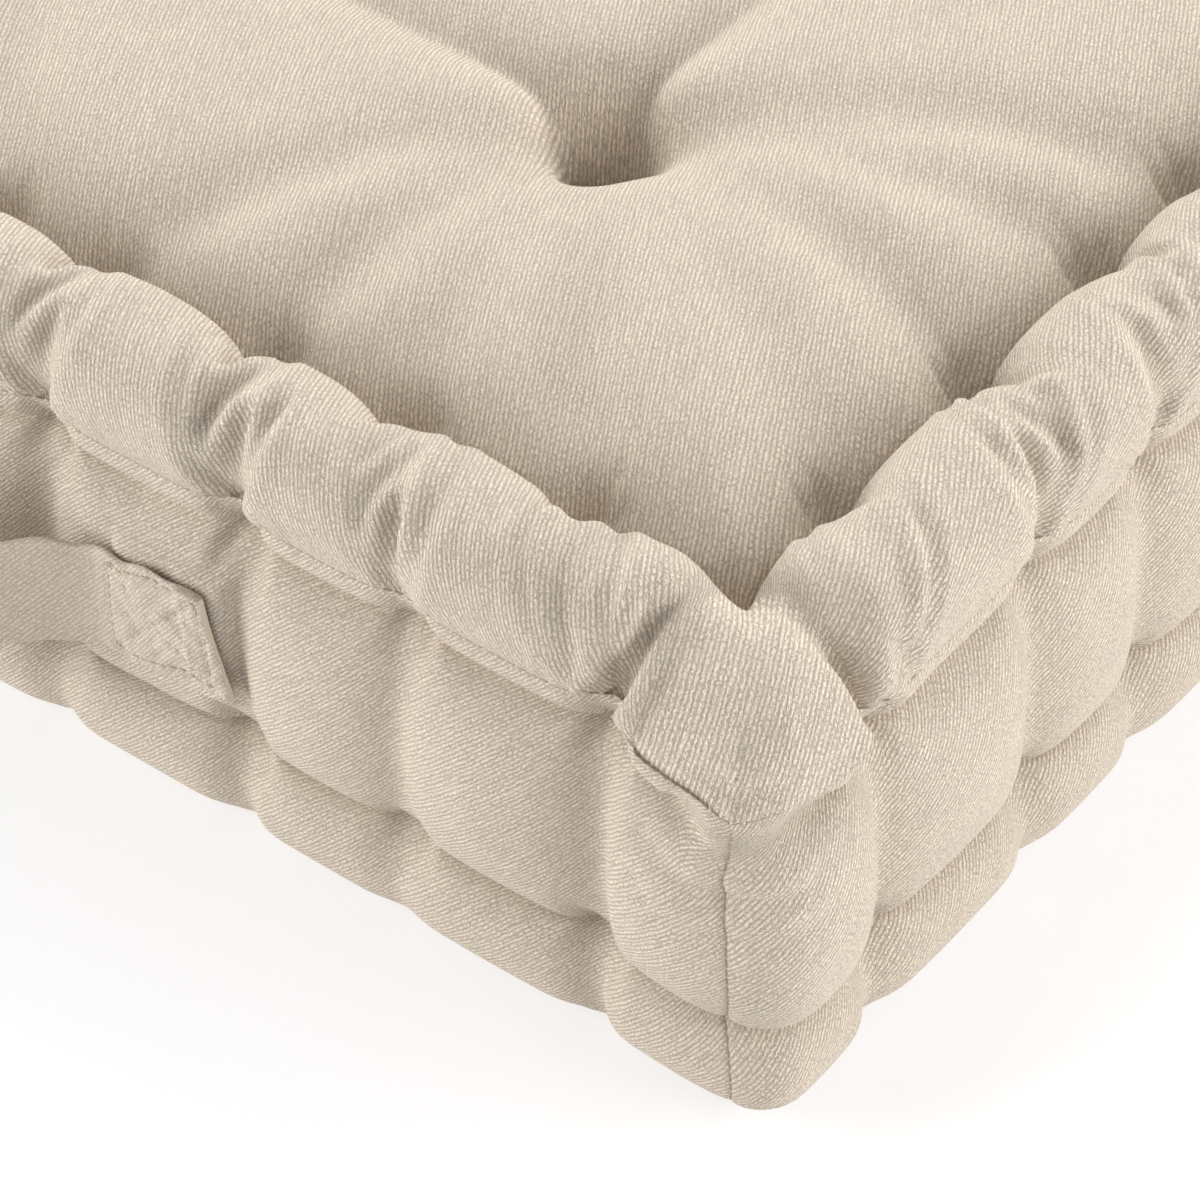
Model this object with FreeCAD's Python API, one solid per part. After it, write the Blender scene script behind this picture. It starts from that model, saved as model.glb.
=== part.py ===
"""Tufted square floor cushion with rolled edges and a carrying handle, in millimetres.

The cushion is a stack of three soft bands: an upper edge roll, a puffed boxing and a lower edge roll.
The row frame has +Z up and its origin at the centre of the underside. The handle is on the -Y side.
"""

import math
import os

import FreeCAD
import Part

# Driving dimensions
SIDE = 600.0                 # outside width of the cushion over its edge rolls
HEIGHT = 152.0               # height over the crown of the top panel
FABRIC = 1.0                 # thickness of the cotton twill
GAP = 0.3                    # clearance between the cover and its filling
UPPER_PINCH = 108.0          # height of the stitch line under the upper edge roll
LOWER_PINCH = 34.0           # height of the stitch line over the lower edge roll
UPPER_ROLL_TOP = 146.0       # crest of the upper edge roll
ROLL_EDGE_RADIUS = 16.5      # rounding of both edge rolls
BOXING_HALF = 298.0          # half width over the boxing between the rolls
BOXING_EDGE_RADIUS = 20.0    # rounding of the puffed boxing at its two stitch lines
CORNER_RADIUS = 24.0         # rounding of the upright corners
TOP_SEAM_HEIGHT = 117.0      # where the top panel meets the boxing
BOTTOM_SEAM_HEIGHT = 6.0     # where the bottom panel meets the boxing
MID_HEIGHT = 70.0            # dimple seats above this belong to the top panel, those below to the bottom

CREASE_HALF = 247.0          # half width at the bottom of the crease inside the upper roll
CREASE_HALF_WIDTH = 12.0
CREASE_DEPTH = 26.0
CROWN_EDGE_RADIUS = 22.0

TUFT_PITCH = 230.0
TUFTS_A_SIDE = 2
TUFT_SEAT_RADIUS = 6.0       # flat bottom of a dimple
TOP_DIMPLE_RADIUS = 50.0
TOP_DIMPLE_FLOOR = 108.0
BOTTOM_DIMPLE_RADIUS = 34.0
BOTTOM_DIMPLE_ROOF = 26.0
TWINE_RADIUS = 1.0
TWINE_HOLE_RADIUS = 1.4
KNOT_RADIUS = 3.6
KNOT_HEIGHT = 3.0

HANDLE_WIDTH = 40.0
HANDLE_THICKNESS = 2.4
HANDLE_CENTRE_HEIGHT = 70.0
HANDLE_LENGTH = 220.0        # over both sewn ends
SEWN_LENGTH = 40.0
HANDLE_BOW = 35.0            # how far the loop stands out from the boxing
GRIP_HALF = 38.0             # half length of the part of the loop that swings
GRIP_END_CLEARANCE = 0.5

THREAD = 0.8                 # width and height of a seam thread
STITCH_INSET = 4.0           # box stitch's distance from the edges of a sewn handle end
ROLL_STITCH_HALF = 289.0     # half width inside the twine that ties the edge rolls
ROLL_STITCH = 1.6
ROLL_STITCH_CORNER = 14.0
ROLL_STITCH_DROP = 1.0       # how far the upper tie hangs below its stitch line
SEAM_PROUD = 0.8             # how far the inside of a seam thread stands off the cover
BOTTOM_SEAM_CORNER = 20.0


def plate(half, low, high, corner_radius, edge_radius=0.0, edges=("low", "high")):
    """Square plate about the Z axis with rounded upright corners and rounded rims."""
    solid = Part.makeBox(2 * half, 2 * half, high - low, FreeCAD.Vector(-half, -half, low))
    upright = [e for e in solid.Edges if abs(e.tangentAt(e.FirstParameter).z) > 0.9]
    solid = solid.makeFillet(corner_radius, upright)
    if edge_radius <= 0:
        return solid
    levels = {"low": low, "high": high}
    wanted = [levels[name] for name in edges]
    rims = [e for e in solid.Edges if any(lies_at(e, level) for level in wanted)]
    return solid.makeFillet(edge_radius, rims)


def lies_at(edge, level):
    box = edge.BoundBox
    return abs(box.ZMin - level) < 1e-6 and abs(box.ZMax - level) < 1e-6


def frustum(half_low, half_high, low, high):
    """Square pyramid frustum about the Z axis."""
    wires = []
    for half, z in ((half_low, low), (half_high, high)):
        corners = [(half, half), (-half, half), (-half, -half), (half, -half), (half, half)]
        wires.append(Part.makePolygon([FreeCAD.Vector(x, y, z) for x, y in corners]))
    return Part.makeLoft(wires, True, True)


def crease_ring(inset):
    """V-shaped ring that separates the upper edge roll from the crown of the top panel."""
    top = UPPER_ROLL_TOP + 10.0
    bottom = UPPER_ROLL_TOP - CREASE_DEPTH - inset
    slope = CREASE_HALF_WIDTH / CREASE_DEPTH
    reach = (top - bottom) * slope
    outer = frustum(CREASE_HALF + 0.5, CREASE_HALF + reach + inset, bottom, top)
    inner = frustum(CREASE_HALF - 0.5, CREASE_HALF - reach - inset, bottom, top)
    return outer.cut(inner)


def tuft_places():
    middle = (TUFTS_A_SIDE - 1) / 2
    steps = [(i - middle) * TUFT_PITCH for i in range(TUFTS_A_SIDE)]
    return [(f"r{j + 1}c{i + 1}", x, y) for j, y in enumerate(steps) for i, x in enumerate(steps)]


def dimples(inset):
    """Conical hollows that the tufting twines pull into the top and the underside."""
    hollows = []
    for _, x, y in tuft_places():
        floor = TOP_DIMPLE_FLOOR - inset
        roof = BOTTOM_DIMPLE_ROOF + inset
        seat = TUFT_SEAT_RADIUS + inset
        above = HEIGHT - floor + 1.0
        hollows.append(Part.makeCone(seat, TOP_DIMPLE_RADIUS + inset, above, FreeCAD.Vector(x, y, floor)))
        hollows.append(Part.makeCone(BOTTOM_DIMPLE_RADIUS + inset, seat, roof + 1.0, FreeCAD.Vector(x, y, -1.0)))
    return hollows


def envelope(inset):
    """The cushion's outer form, moved inwards by inset."""
    corner = CORNER_RADIUS - inset
    roll_radius = ROLL_EDGE_RADIUS - inset
    upper = plate(SIDE / 2 - inset, UPPER_PINCH + inset, UPPER_ROLL_TOP - inset, corner, roll_radius)
    middle = plate(BOXING_HALF - inset, LOWER_PINCH + inset, UPPER_PINCH - inset, corner,
                   BOXING_EDGE_RADIUS - inset)
    lower = plate(BOXING_HALF - inset, inset, LOWER_PINCH - inset, corner, roll_radius)
    core_half = BOXING_HALF - BOXING_EDGE_RADIUS - 2.0 - inset
    core = plate(core_half, 2.0 + inset, UPPER_ROLL_TOP - CREASE_DEPTH - 4.0 - inset, 12.0)
    crown_half = CREASE_HALF - CREASE_HALF_WIDTH - inset
    crown = plate(crown_half, UPPER_PINCH, HEIGHT - inset, CORNER_RADIUS, CROWN_EDGE_RADIUS, ("high",))
    body = upper.cut(crease_ring(inset)).fuse([middle, lower, core, crown])
    return body.cut(dimples(inset))


def twine_holes():
    return [
        Part.makeCylinder(TWINE_HOLE_RADIUS, HEIGHT + 10.0, FreeCAD.Vector(x, y, -5.0))
        for _, x, y in tuft_places()
    ]


def band(low, high):
    """Block that holds everything between two heights."""
    reach = SIDE
    return Part.makeBox(2 * reach, 2 * reach, high - low, FreeCAD.Vector(-reach, -reach, low))


def side_wedge(quarter_turns):
    """Upright wedge from the axis that holds one side of the cushion, between its two corner seams."""
    reach = SIDE
    low, high = -10.0, HEIGHT + 10.0
    corners = [(0.0, 0.0), (reach, -reach), (-reach, -reach), (0.0, 0.0)]
    outline = Part.makePolygon([FreeCAD.Vector(-x, y, low) for x, y in corners])
    wedge = Part.Face(outline).extrude(FreeCAD.Vector(0, 0, high - low))
    wedge.rotate(FreeCAD.Vector(0, 0, 0), FreeCAD.Vector(0, 0, 1), 90.0 * quarter_turns)
    return wedge


def inner_column(low, high):
    """Block over the crown only, inside the edge rolls, that reaches the seats of the dimples."""
    half = CREASE_HALF + 8.0
    return Part.makeBox(2 * half, 2 * half, high - low, FreeCAD.Vector(-half, -half, low))


def cover_and_fill():
    """The sewn cover, cut at its seams into panels, and the filling inside it."""
    holes = twine_holes()
    shell = envelope(0.0).cut(envelope(FABRIC)).cut(holes)
    above = band(TOP_SEAM_HEIGHT, HEIGHT + 5.0).fuse(inner_column(MID_HEIGHT, HEIGHT + 5.0))
    below = band(-5.0, BOTTOM_SEAM_HEIGHT).fuse(inner_column(-5.0, MID_HEIGHT))
    pieces = {"top_panel": shell.common(above), "bottom_panel": shell.common(below)}
    boxing = shell.cut([above, below])
    for turns, side in enumerate(("front", "right", "back", "left")):
        pieces["boxing_" + side] = boxing.common(side_wedge(turns))
    pieces["fibre_fill"] = envelope(FABRIC + GAP).cut(holes)
    return pieces


def tuft_twine(x, y):
    """Twine through the whole cushion, with a knot in each dimple."""
    low, high = BOTTOM_DIMPLE_ROOF, TOP_DIMPLE_FLOOR
    strand = Part.makeCylinder(TWINE_RADIUS, high - low, FreeCAD.Vector(x, y, low))
    top_knot = Part.makeCylinder(KNOT_RADIUS, KNOT_HEIGHT, FreeCAD.Vector(x, y, high))
    bottom_knot = Part.makeCylinder(KNOT_RADIUS, KNOT_HEIGHT, FreeCAD.Vector(x, y, low - KNOT_HEIGHT))
    round_off = KNOT_HEIGHT / 3
    knots = []
    for knot, level in ((top_knot, high + KNOT_HEIGHT), (bottom_knot, low - KNOT_HEIGHT)):
        knots.append(knot.makeFillet(round_off, [e for e in knot.Edges if lies_at(e, level)]))
    return strand.fuse(knots)


def thread_ring(inner_half, low, width, corner_radius):
    """Thread that runs round the whole cushion at one height."""
    outer = plate(inner_half + width, low, low + width, corner_radius + width)
    inner = plate(inner_half, low - 1.0, low + width + 1.0, corner_radius)
    return outer.cut(inner)


def reach_at(height, half, centre_height, radius):
    """Half width of a rounded band at a height within its rounding."""
    drop = height - centre_height
    return half - radius + math.sqrt(radius ** 2 - drop ** 2)


def seam_threads():
    roll_middle = UPPER_PINCH + ROLL_EDGE_RADIUS
    top_half = reach_at(TOP_SEAM_HEIGHT, SIDE / 2, roll_middle, ROLL_EDGE_RADIUS) + SEAM_PROUD
    bottom_half = reach_at(BOTTOM_SEAM_HEIGHT, BOXING_HALF, ROLL_EDGE_RADIUS, ROLL_EDGE_RADIUS) + SEAM_PROUD
    upper_tie_low = UPPER_PINCH - ROLL_STITCH_DROP
    lower_tie_low = LOWER_PINCH - ROLL_STITCH / 2
    return {
        "top_seam_thread": thread_ring(top_half, TOP_SEAM_HEIGHT - THREAD / 2, THREAD, CORNER_RADIUS),
        "bottom_seam_thread": thread_ring(bottom_half, BOTTOM_SEAM_HEIGHT - THREAD / 2, THREAD, BOTTOM_SEAM_CORNER),
        "upper_roll_twine": thread_ring(ROLL_STITCH_HALF, upper_tie_low, ROLL_STITCH, ROLL_STITCH_CORNER),
        "lower_roll_twine": thread_ring(ROLL_STITCH_HALF, lower_tie_low, ROLL_STITCH, ROLL_STITCH_CORNER),
    }


def corner_threads():
    """Upright seam threads where two boxing strips meet."""
    threads = {}
    low, high = LOWER_PINCH + BOXING_EDGE_RADIUS, UPPER_PINCH - BOXING_EDGE_RADIUS
    corner_centre = BOXING_HALF - CORNER_RADIUS
    place = corner_centre + (CORNER_RADIUS + THREAD) * math.sqrt(0.5)
    for name, sx, sy in (("front_right", 1, -1), ("back_right", 1, 1), ("back_left", -1, 1), ("front_left", -1, -1)):
        foot = FreeCAD.Vector(sx * place, sy * place, low)
        threads["corner_seam_" + name] = Part.makeCylinder(THREAD / 2, high - low, foot)
    return threads


def loop_radius():
    """Radius of the handle's bowed loop, from its chord and its bow."""
    half_chord = HANDLE_LENGTH / 2 - SEWN_LENGTH
    return (half_chord ** 2 + HANDLE_BOW ** 2) / (2 * HANDLE_BOW)


def handle_blank():
    """The whole strap: a sewn end, the bowed loop and the other sewn end, as one extruded band."""
    half_chord = HANDLE_LENGTH / 2 - SEWN_LENGTH
    radius = loop_radius()
    wall = -BOXING_HALF - 0.2
    centre_y = wall - HANDLE_THICKNESS / 2 + (radius - HANDLE_BOW)
    low = HANDLE_CENTRE_HEIGHT - HANDLE_WIDTH / 2

    def disc(r):
        return Part.makeCylinder(r, HANDLE_WIDTH, FreeCAD.Vector(0, centre_y, low))

    loop = disc(radius + HANDLE_THICKNESS / 2).cut(disc(radius - HANDLE_THICKNESS / 2))
    outside = Part.makeBox(4 * half_chord, 4 * radius, HANDLE_WIDTH,
                           FreeCAD.Vector(-2 * half_chord, wall - 4 * radius, low))
    loop = loop.common(outside)
    ends = []
    for sign in (-1, 1):
        start = -HANDLE_LENGTH / 2 if sign < 0 else half_chord - 1.0
        corner = FreeCAD.Vector(start, wall - HANDLE_THICKNESS, low)
        ends.append(Part.makeBox(SEWN_LENGTH + 1.0, HANDLE_THICKNESS, HANDLE_WIDTH, corner))
    return loop.fuse(ends)


def slab_x(low, high):
    reach = SIDE
    return Part.makeBox(high - low, 2 * reach, 2 * reach, FreeCAD.Vector(low, -reach, -reach))


def handle():
    blank = handle_blank()
    split = GRIP_HALF + GRIP_END_CLEARANCE
    return {
        "handle_grip": blank.common(slab_x(-GRIP_HALF, GRIP_HALF)),
        "handle_end_left": blank.common(slab_x(-SIDE, -split)),
        "handle_end_right": blank.common(slab_x(split, SIDE)),
    }


def box_stitch(sign):
    """Rectangle with crossed diagonals that holds a handle end to the boxing."""
    wide = SEWN_LENGTH - 2 * STITCH_INSET
    tall = HANDLE_WIDTH - 2 * STITCH_INSET
    face = -BOXING_HALF - 0.2 - HANDLE_THICKNESS
    centre = FreeCAD.Vector(sign * (HANDLE_LENGTH / 2 - SEWN_LENGTH / 2), face - THREAD / 2, HANDLE_CENTRE_HEIGHT)

    def run(length, angle, along=0.0, up=0.0):
        line = Part.makeBox(length, THREAD, THREAD, FreeCAD.Vector(-length / 2, -THREAD / 2, -THREAD / 2))
        line.rotate(FreeCAD.Vector(0, 0, 0), FreeCAD.Vector(0, 1, 0), angle)
        line.translate(centre + FreeCAD.Vector(along, 0, up))
        return line

    slant = math.degrees(math.atan2(tall, wide))
    diagonal = math.hypot(wide, tall)
    runs = [run(diagonal, slant), run(diagonal, -slant)]
    for end in (-1, 1):
        runs.append(run(tall + THREAD, 90.0, along=end * wide / 2))
        runs.append(run(wide + THREAD, 0.0, up=end * tall / 2))
    return runs[0].fuse(runs[1:])


def main():
    os.makedirs("parts", exist_ok=True)
    nodes = cover_and_fill()
    nodes.update(seam_threads())
    nodes.update(corner_threads())
    nodes.update(handle())
    nodes["handle_stitching_left"] = box_stitch(-1)
    nodes["handle_stitching_right"] = box_stitch(1)
    for place, x, y in tuft_places():
        nodes["tuft_twine_" + place] = tuft_twine(x, y)
    for name, shape in sorted(nodes.items()):
        solids = len(shape.Solids)
        print(f"{name:26s} solids {solids} valid {shape.isValid()} volume {shape.Volume / 1000:.2f} cm3")
        shape.exportStep(f"parts/{name}.step")


main()
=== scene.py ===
import math

import bmesh
import bpy
import numpy as np
from mathutils import Matrix, Vector


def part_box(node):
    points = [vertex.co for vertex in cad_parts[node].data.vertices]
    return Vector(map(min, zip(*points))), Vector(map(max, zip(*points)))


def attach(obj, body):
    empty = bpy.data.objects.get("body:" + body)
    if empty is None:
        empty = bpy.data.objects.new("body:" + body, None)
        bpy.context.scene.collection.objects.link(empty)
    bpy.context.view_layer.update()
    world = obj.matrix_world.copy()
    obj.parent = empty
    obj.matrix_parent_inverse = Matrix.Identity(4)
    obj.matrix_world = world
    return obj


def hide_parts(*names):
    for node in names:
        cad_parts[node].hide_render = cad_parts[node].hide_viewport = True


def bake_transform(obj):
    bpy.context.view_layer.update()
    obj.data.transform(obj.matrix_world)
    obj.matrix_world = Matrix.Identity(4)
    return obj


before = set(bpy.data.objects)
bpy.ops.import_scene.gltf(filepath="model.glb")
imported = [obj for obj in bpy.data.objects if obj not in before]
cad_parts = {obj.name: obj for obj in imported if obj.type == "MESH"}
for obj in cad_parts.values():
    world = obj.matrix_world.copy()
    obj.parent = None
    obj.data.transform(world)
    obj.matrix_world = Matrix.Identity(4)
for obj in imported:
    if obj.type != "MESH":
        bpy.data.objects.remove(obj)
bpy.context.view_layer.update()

# Levels and half widths of the cushion, in metres
TOP_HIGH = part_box("top_panel")[1]
CROWN_Z = TOP_HIGH.z + 0.005
SEAM_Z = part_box("top_seam_thread")[0].z + 0.0004
CREASE = 0.247              # half width at the crease inside the upper roll
CREASE_Z = 0.120
ROLL_MIDDLE = 0.2725        # half width at the middle of the upper roll's section
ROLL_MIDDLE_Z = 0.1265
ROLL_WIDE = 0.0258          # half axes of that section
ROLL_TALL = 0.0215
ROLL_START = math.radians(194)
ROLL_END = math.radians(-20)
SEAM_OUT = 0.2995           # half width at the corners of the top seam
CORNER_SEAM_Z = 0.1125      # height of the top seam at the corners
CORNER_SHARP = 0.85         # how sharp the corners of the top seam are, from round, 0, to a point, 1
PULL_IN = 0.0075            # how far the middle of a side lies inside its corners
CORNER_TURN = 0.0165        # how far the corner seams are turned from the diagonals, round the cushion
LOBE_MIDDLE = 0.269         # half width at the crest of the corner lobes, which are flatter than the roll
LOBE_CREST = 0.1425
LOBE_FLAT = 0.5             # how flat a lobe is from its crest to its seam: round, 0, to straight, 1
LOBE_GRAIN = 5              # degrees that the weave is turned on a lobe
CORNER_ROUND = 0.27         # rounding of a corner, as a share of its depth past the crease
UPPER_PINCH_Z = 0.1065
LOWER_PINCH_Z = 0.034
TUFT_Z = 0.108              # height of the cloth at the bottom of a dimple
TUFT_SHIFT = (0.905, 1.025)  # the tufts as tied, as shares of their marked places
VALLEY_DEPTH = 0.0068       # valleys from the crease stitches to the tufts
TUFT_VALLEY = 0.0125        # valleys from tuft to tuft
TUFT_HOLE = 0.042           # depth of the narrow hole at a tuft, and the width it narrows over
TUFT_HOLE_WIDTH = 0.0036
PLEAT_DEPTH = 0.0023
# Drag folds on the boxing's corners: (height at the seam, climb away from it, depth)
CORNER_FOLDS = ((0.1020, 1.00, 0.0009), (0.0905, 3.5, 0.0019), (0.0775, 6.0, 0.0010))
SEAM_SINK = 0.0007          # how deep the top seam lies in its groove
FILL_TOP = 0.232            # half width of the filling's top, inside the crease
FILL_WALL = 0.272           # half width of its walls at their fullest
FILL_LOW = 0.012
FILL_GAP = 0.018            # how far the filling's edge lies under the cover at the crease
FILL_CROWN_GAP = 0.008      # and how far its crown does

# Threads and twines
STITCH = 0.0027
STITCH_GAP = 0.0009
THREAD = 0.00030
TWINE = 0.0008
ROLL_TWINE = 0.0005
UNDER_STITCH = 0.262        # how far out the lower roll's stitches come through the bottom
# A hand stitch's path over the cloth: (place along it in half stitches, height over the cloth)
HAND_STITCH = ((1.0, -0.0012), (0.6, 0.0004), (0.0, 0.0006), (-0.6, 0.0004), (-1.0, -0.0030))
HALF_HAND_STITCH = 0.0022

# The handle
HANDLE_LOW, HANDLE_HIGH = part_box("handle_end_right")
HANDLE_GRIP_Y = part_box("handle_grip")[0].y + 0.0018
STRAP_LAYER = 0.0011        # half of the folded strap's thickness
SEWN_FROM = 0.070           # where the sewn end begins, from the middle of the handle
STRAP_CELLS = (190, 72)     # along half of the strap, and across it
STRAP_EDGE = 0.0012         # rounding of its edges and ends

# Cloth colour and the distance from rib to rib
BASE = (0.7650, 0.6600, 0.5440)
TWILL_PITCH = 0.00135
STRAP_PITCH = 0.00120
FRONT_PITCH = 0.00112
SIDE_PITCH = 0.00128

CAMERA_PLACE = (0.70173, -0.89769, 0.85877)
CAMERA_AZIMUTH = math.radians(37.56)
CAMERA_ELEVATION = math.radians(42.49)
LENS = 126.0
FLOOR_GLOW = 0.56
WORLD_GLOW = 0.47
# Softboxes: (name, place, target, size, watts)
SOFTBOXES = (
    ("right_softbox", (1.9, 0.35, 0.60), (0.15, -0.1, 0.08), (1.4, 1.2), 29.0),
    ("left_softbox", (-1.3, -1.5, 0.55), (0.0, -0.15, 0.08), (1.4, 1.0), 33.5),
    ("back_softbox", (-0.80, 1.35, 1.50), (0.0, -0.1, 0.1), (1.6, 1.0), 53.0),
)

# The cloth grids
SIDE_CELLS = 156            # cells along one side of the top panel
CLOTH_CREASE = 0.262        # along the cloth, from the middle of the top panel to the crease
CLOTH_ROLL = 0.090          # along the cloth, from the crease over the roll to the seam
CLOTH_HALF = CLOTH_CREASE + CLOTH_ROLL
# Rows of the boxing: (cells, half width, height) at the end of each stretch, from the top seam down
BOXING = (
    (0, 0.2985, SEAM_Z), (2, 0.2975, 0.1115), (2, 0.2900, 0.1065),
    (3, 0.2960, 0.1010), (4, 0.3010, 0.0880), (4, 0.3025, 0.0705), (4, 0.3010, 0.0530), (3, 0.2960, 0.0400),
    (3, 0.2890, 0.0340), (3, 0.2950, 0.0305), (3, 0.2995, 0.0200), (3, 0.2975, 0.0090), (3, 0.2890, 0.0030),
    (3, 0.2800, 0.0010),
)
UPPER_PINCH_ROW = 4
LOWER_PINCH_ROW = 25
EVERY = slice(None)
SIDES = ("front", "right", "back", "left")
OUTWARD = {"front": (0, -1), "right": (1, 0), "back": (0, 1), "left": (-1, 0)}
ALONG = {"front": (1, 0), "right": (0, 1), "back": (-1, 0), "left": (0, -1)}

# How the cloth relaxes: (steps, steps if quick, push, damping)
COARSE_RELAX = (800, 60, 0.00005, 0.96)
FINE_RELAX = (320, 10, 0.000018, 0.94)

# Stitches along half a side: (distance from the side's middle, strength)
CREASE_STITCHES = {
    "near_front": ((0.022, 0.8), (0.084, 1.0), (0.133, 0.8), (0.194, 0.9)),
    "near_right": ((0.024, 0.9), (0.074, 0.9), (0.137, 1.0), (0.203, 0.5)),
}
PINCH_STITCHES = {
    "near_front": ((0.040, 0.8), (0.1095, 1.0), (0.1685, 0.5), (0.2350, 1.0)),
    "near_right": ((0.055, 0.6), (0.1155, 0.8), (0.172, 0.8), (0.2470, 1.0)),
}

RNG = np.random.default_rng(11)


def linked(name, data):
    """A new object in the scene."""
    thing = bpy.data.objects.new(name, data)
    bpy.context.scene.collection.objects.link(thing)
    return thing


# --- stitch places

def side_stitches(stitches):
    """Places and strengths of stitches along each whole side, from left to right as seen from outside."""
    sides = {}
    for name in SIDES:
        places = []
        for sign in (-1, 1):
            near = (name, sign) in (("front", 1), ("right", -1))
            half = stitches["near_front" if name in ("front", "back") else "near_right"]
            wobble = 0.0 if near else 0.007
            for place, strength in half:
                places.append((sign * (place + wobble * RNG.uniform(-1, 1)), strength))
        sides[name] = sorted(places)
    return sides


CREASES = side_stitches(CREASE_STITCHES)
PINCHES = side_stitches(PINCH_STITCHES)


def tuft_points():
    """Plan places of the tufting twines."""
    places = []
    for r in (1, 2):
        for c in (1, 2):
            low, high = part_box(f"tuft_twine_r{r}c{c}")
            x, y = (low.x + high.x) / 2, (low.y + high.y) / 2
            places.append((x * TUFT_SHIFT[0], y * TUFT_SHIFT[1]))
    return places


TUFTS = tuft_points()


def smooth(t):
    t = np.clip(t, 0.0, 1.0)
    return t * t * (3 - 2 * t)


def bell(distance, width):
    return np.exp(-(distance / width) ** 2)


def near_stitches(along, stitches, width):
    """Sum of bells round the stitches of one side."""
    total = np.zeros_like(along)
    for place, strength in stitches:
        total = total + strength * bell(along - place, width)
    return total


def soft_noise(shape, cell, seed):
    """Smooth noise between -1 and 1 over a grid, from random values every cell points."""
    rng = np.random.default_rng(seed)
    rows, cols = shape[0] // cell + 3, shape[1] // cell + 3
    coarse = rng.uniform(-1, 1, (rows, cols))
    y = np.arange(shape[0]) / cell
    x = np.arange(shape[1]) / cell
    iy, ix = y.astype(int), x.astype(int)
    fy, fx = smooth(y - iy)[:, None], smooth(x - ix)[None, :]
    a = coarse[iy][:, ix] * (1 - fx) + coarse[iy][:, ix + 1] * fx
    b = coarse[iy + 1][:, ix] * (1 - fx) + coarse[iy + 1][:, ix + 1] * fx
    return a * (1 - fy) + b * fy


# --- starting shapes

def segment_distance(x, y, a, b):
    """Distance in plan from points to the segment a-b."""
    dx, dy = b[0] - a[0], b[1] - a[1]
    t = np.clip(((x - a[0]) * dx + (y - a[1]) * dy) / (dx * dx + dy * dy), 0, 1)
    return np.hypot(x - a[0] - t * dx, y - a[1] - t * dy)


def plan_point(side, along, out):
    o, a = OUTWARD[side], ALONG[side]
    return (o[0] * out + a[0] * along, o[1] * out + a[1] * along)


def crease_valleys():
    """Soft valleys from each crease stitch to its nearest tuft: (tuft, stitch, depth)."""
    lines = []
    for side in SIDES:
        for place, strength in CREASES[side]:
            p = plan_point(side, place, CREASE)
            tuft = min(TUFTS, key=lambda t: math.hypot(t[0] - p[0], t[1] - p[1]))
            lines.append((tuft, p, VALLEY_DEPTH * strength))
    return lines


def tuft_valleys():
    """Deeper valleys from tuft to tuft."""
    pairs = [(a, b) for i, a in enumerate(TUFTS) for b in TUFTS[i + 1:]]
    return [(a, b) for a, b in pairs if math.hypot(a[0] - b[0], a[1] - b[1]) < 0.27]


def crown_height(x, y):
    """Height of the tufted crown over plan points."""
    edge = CREASE - np.maximum(np.abs(x), np.abs(y))
    rise = CROWN_Z - CREASE_Z
    z = CREASE_Z + rise * (1 - np.exp(-np.maximum(edge, 0) / 0.022))
    z = z + 0.003 * np.cos(np.pi * x / 0.5) * np.cos(np.pi * y / 0.5)
    away = np.min([np.hypot(x - tx, y - ty) for tx, ty in TUFTS], axis=0)
    for a, b, depth in crease_valleys():
        z = z - depth * bell(segment_distance(x, y, a, b), 0.0135) * smooth(edge / 0.03)
    z = z - 0.004 * np.exp(-(away / 0.036) ** 2)
    dent = TUFT_HOLE ** 3 * np.exp(-3 * (away / TUFT_HOLE_WIDTH))
    for a, b in tuft_valleys():
        width = 0.0055 + 0.16 * np.minimum(away, 0.07)
        dent = dent + (TUFT_VALLEY * np.exp(-(segment_distance(x, y, a, b) / width) ** 1.3)) ** 3
    return z - np.cbrt(dent)


def side_pull(along):
    """How far a side lies inside the square through its corners, at a place along it."""
    return PULL_IN * (1 - smooth((np.abs(along) - 0.215) / 0.075))


def ring_plan(cloth_along, ring, half, pull, turn, sharp):
    """Place along a side and distance out of it, for a ring of the cloth that has this half width.

    The ring is straight up to the crease's corner, and then goes round the cushion's corner.
    turn moves the meeting of two sides round the corner, towards the side that ends there.
    sharp, from 0 to 1, draws the corner to a point where the two sides meet."""
    beyond = (np.abs(cloth_along) - CLOTH_CREASE) / np.maximum(ring - CLOTH_CREASE, 1e-6)
    beyond = np.clip(beyond, 0, 1)
    inner = np.minimum(CREASE, half)
    start = np.clip(np.abs(cloth_along), 0, CLOTH_CREASE) * inner / CLOTH_CREASE
    radius = np.maximum(half - CREASE, 0) * CORNER_ROUND
    run = np.maximum(half - inner - radius, 0)
    walked = beyond * (run + radius * math.pi / 4 - turn * np.sign(cloth_along))
    angle = np.clip((walked - run) / np.maximum(radius, 1e-6), 0, math.pi / 2)
    along = start + np.minimum(walked, run) + radius * np.sin(angle)
    past = np.maximum(walked - run - radius * math.pi / 2, 0)
    out = half - radius * (1 - np.cos(angle)) - past
    ends = cloth_along > 0
    reach = np.maximum(half - inner, 0)
    point_along = start + beyond * (reach - turn * ends)
    point_out = half - turn * (~ends) * beyond ** 1.6
    along = along + (point_along - along) * sharp
    out = out + (point_out - out) * sharp - pull * side_pull(along)
    return along * np.sign(cloth_along), out


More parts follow.
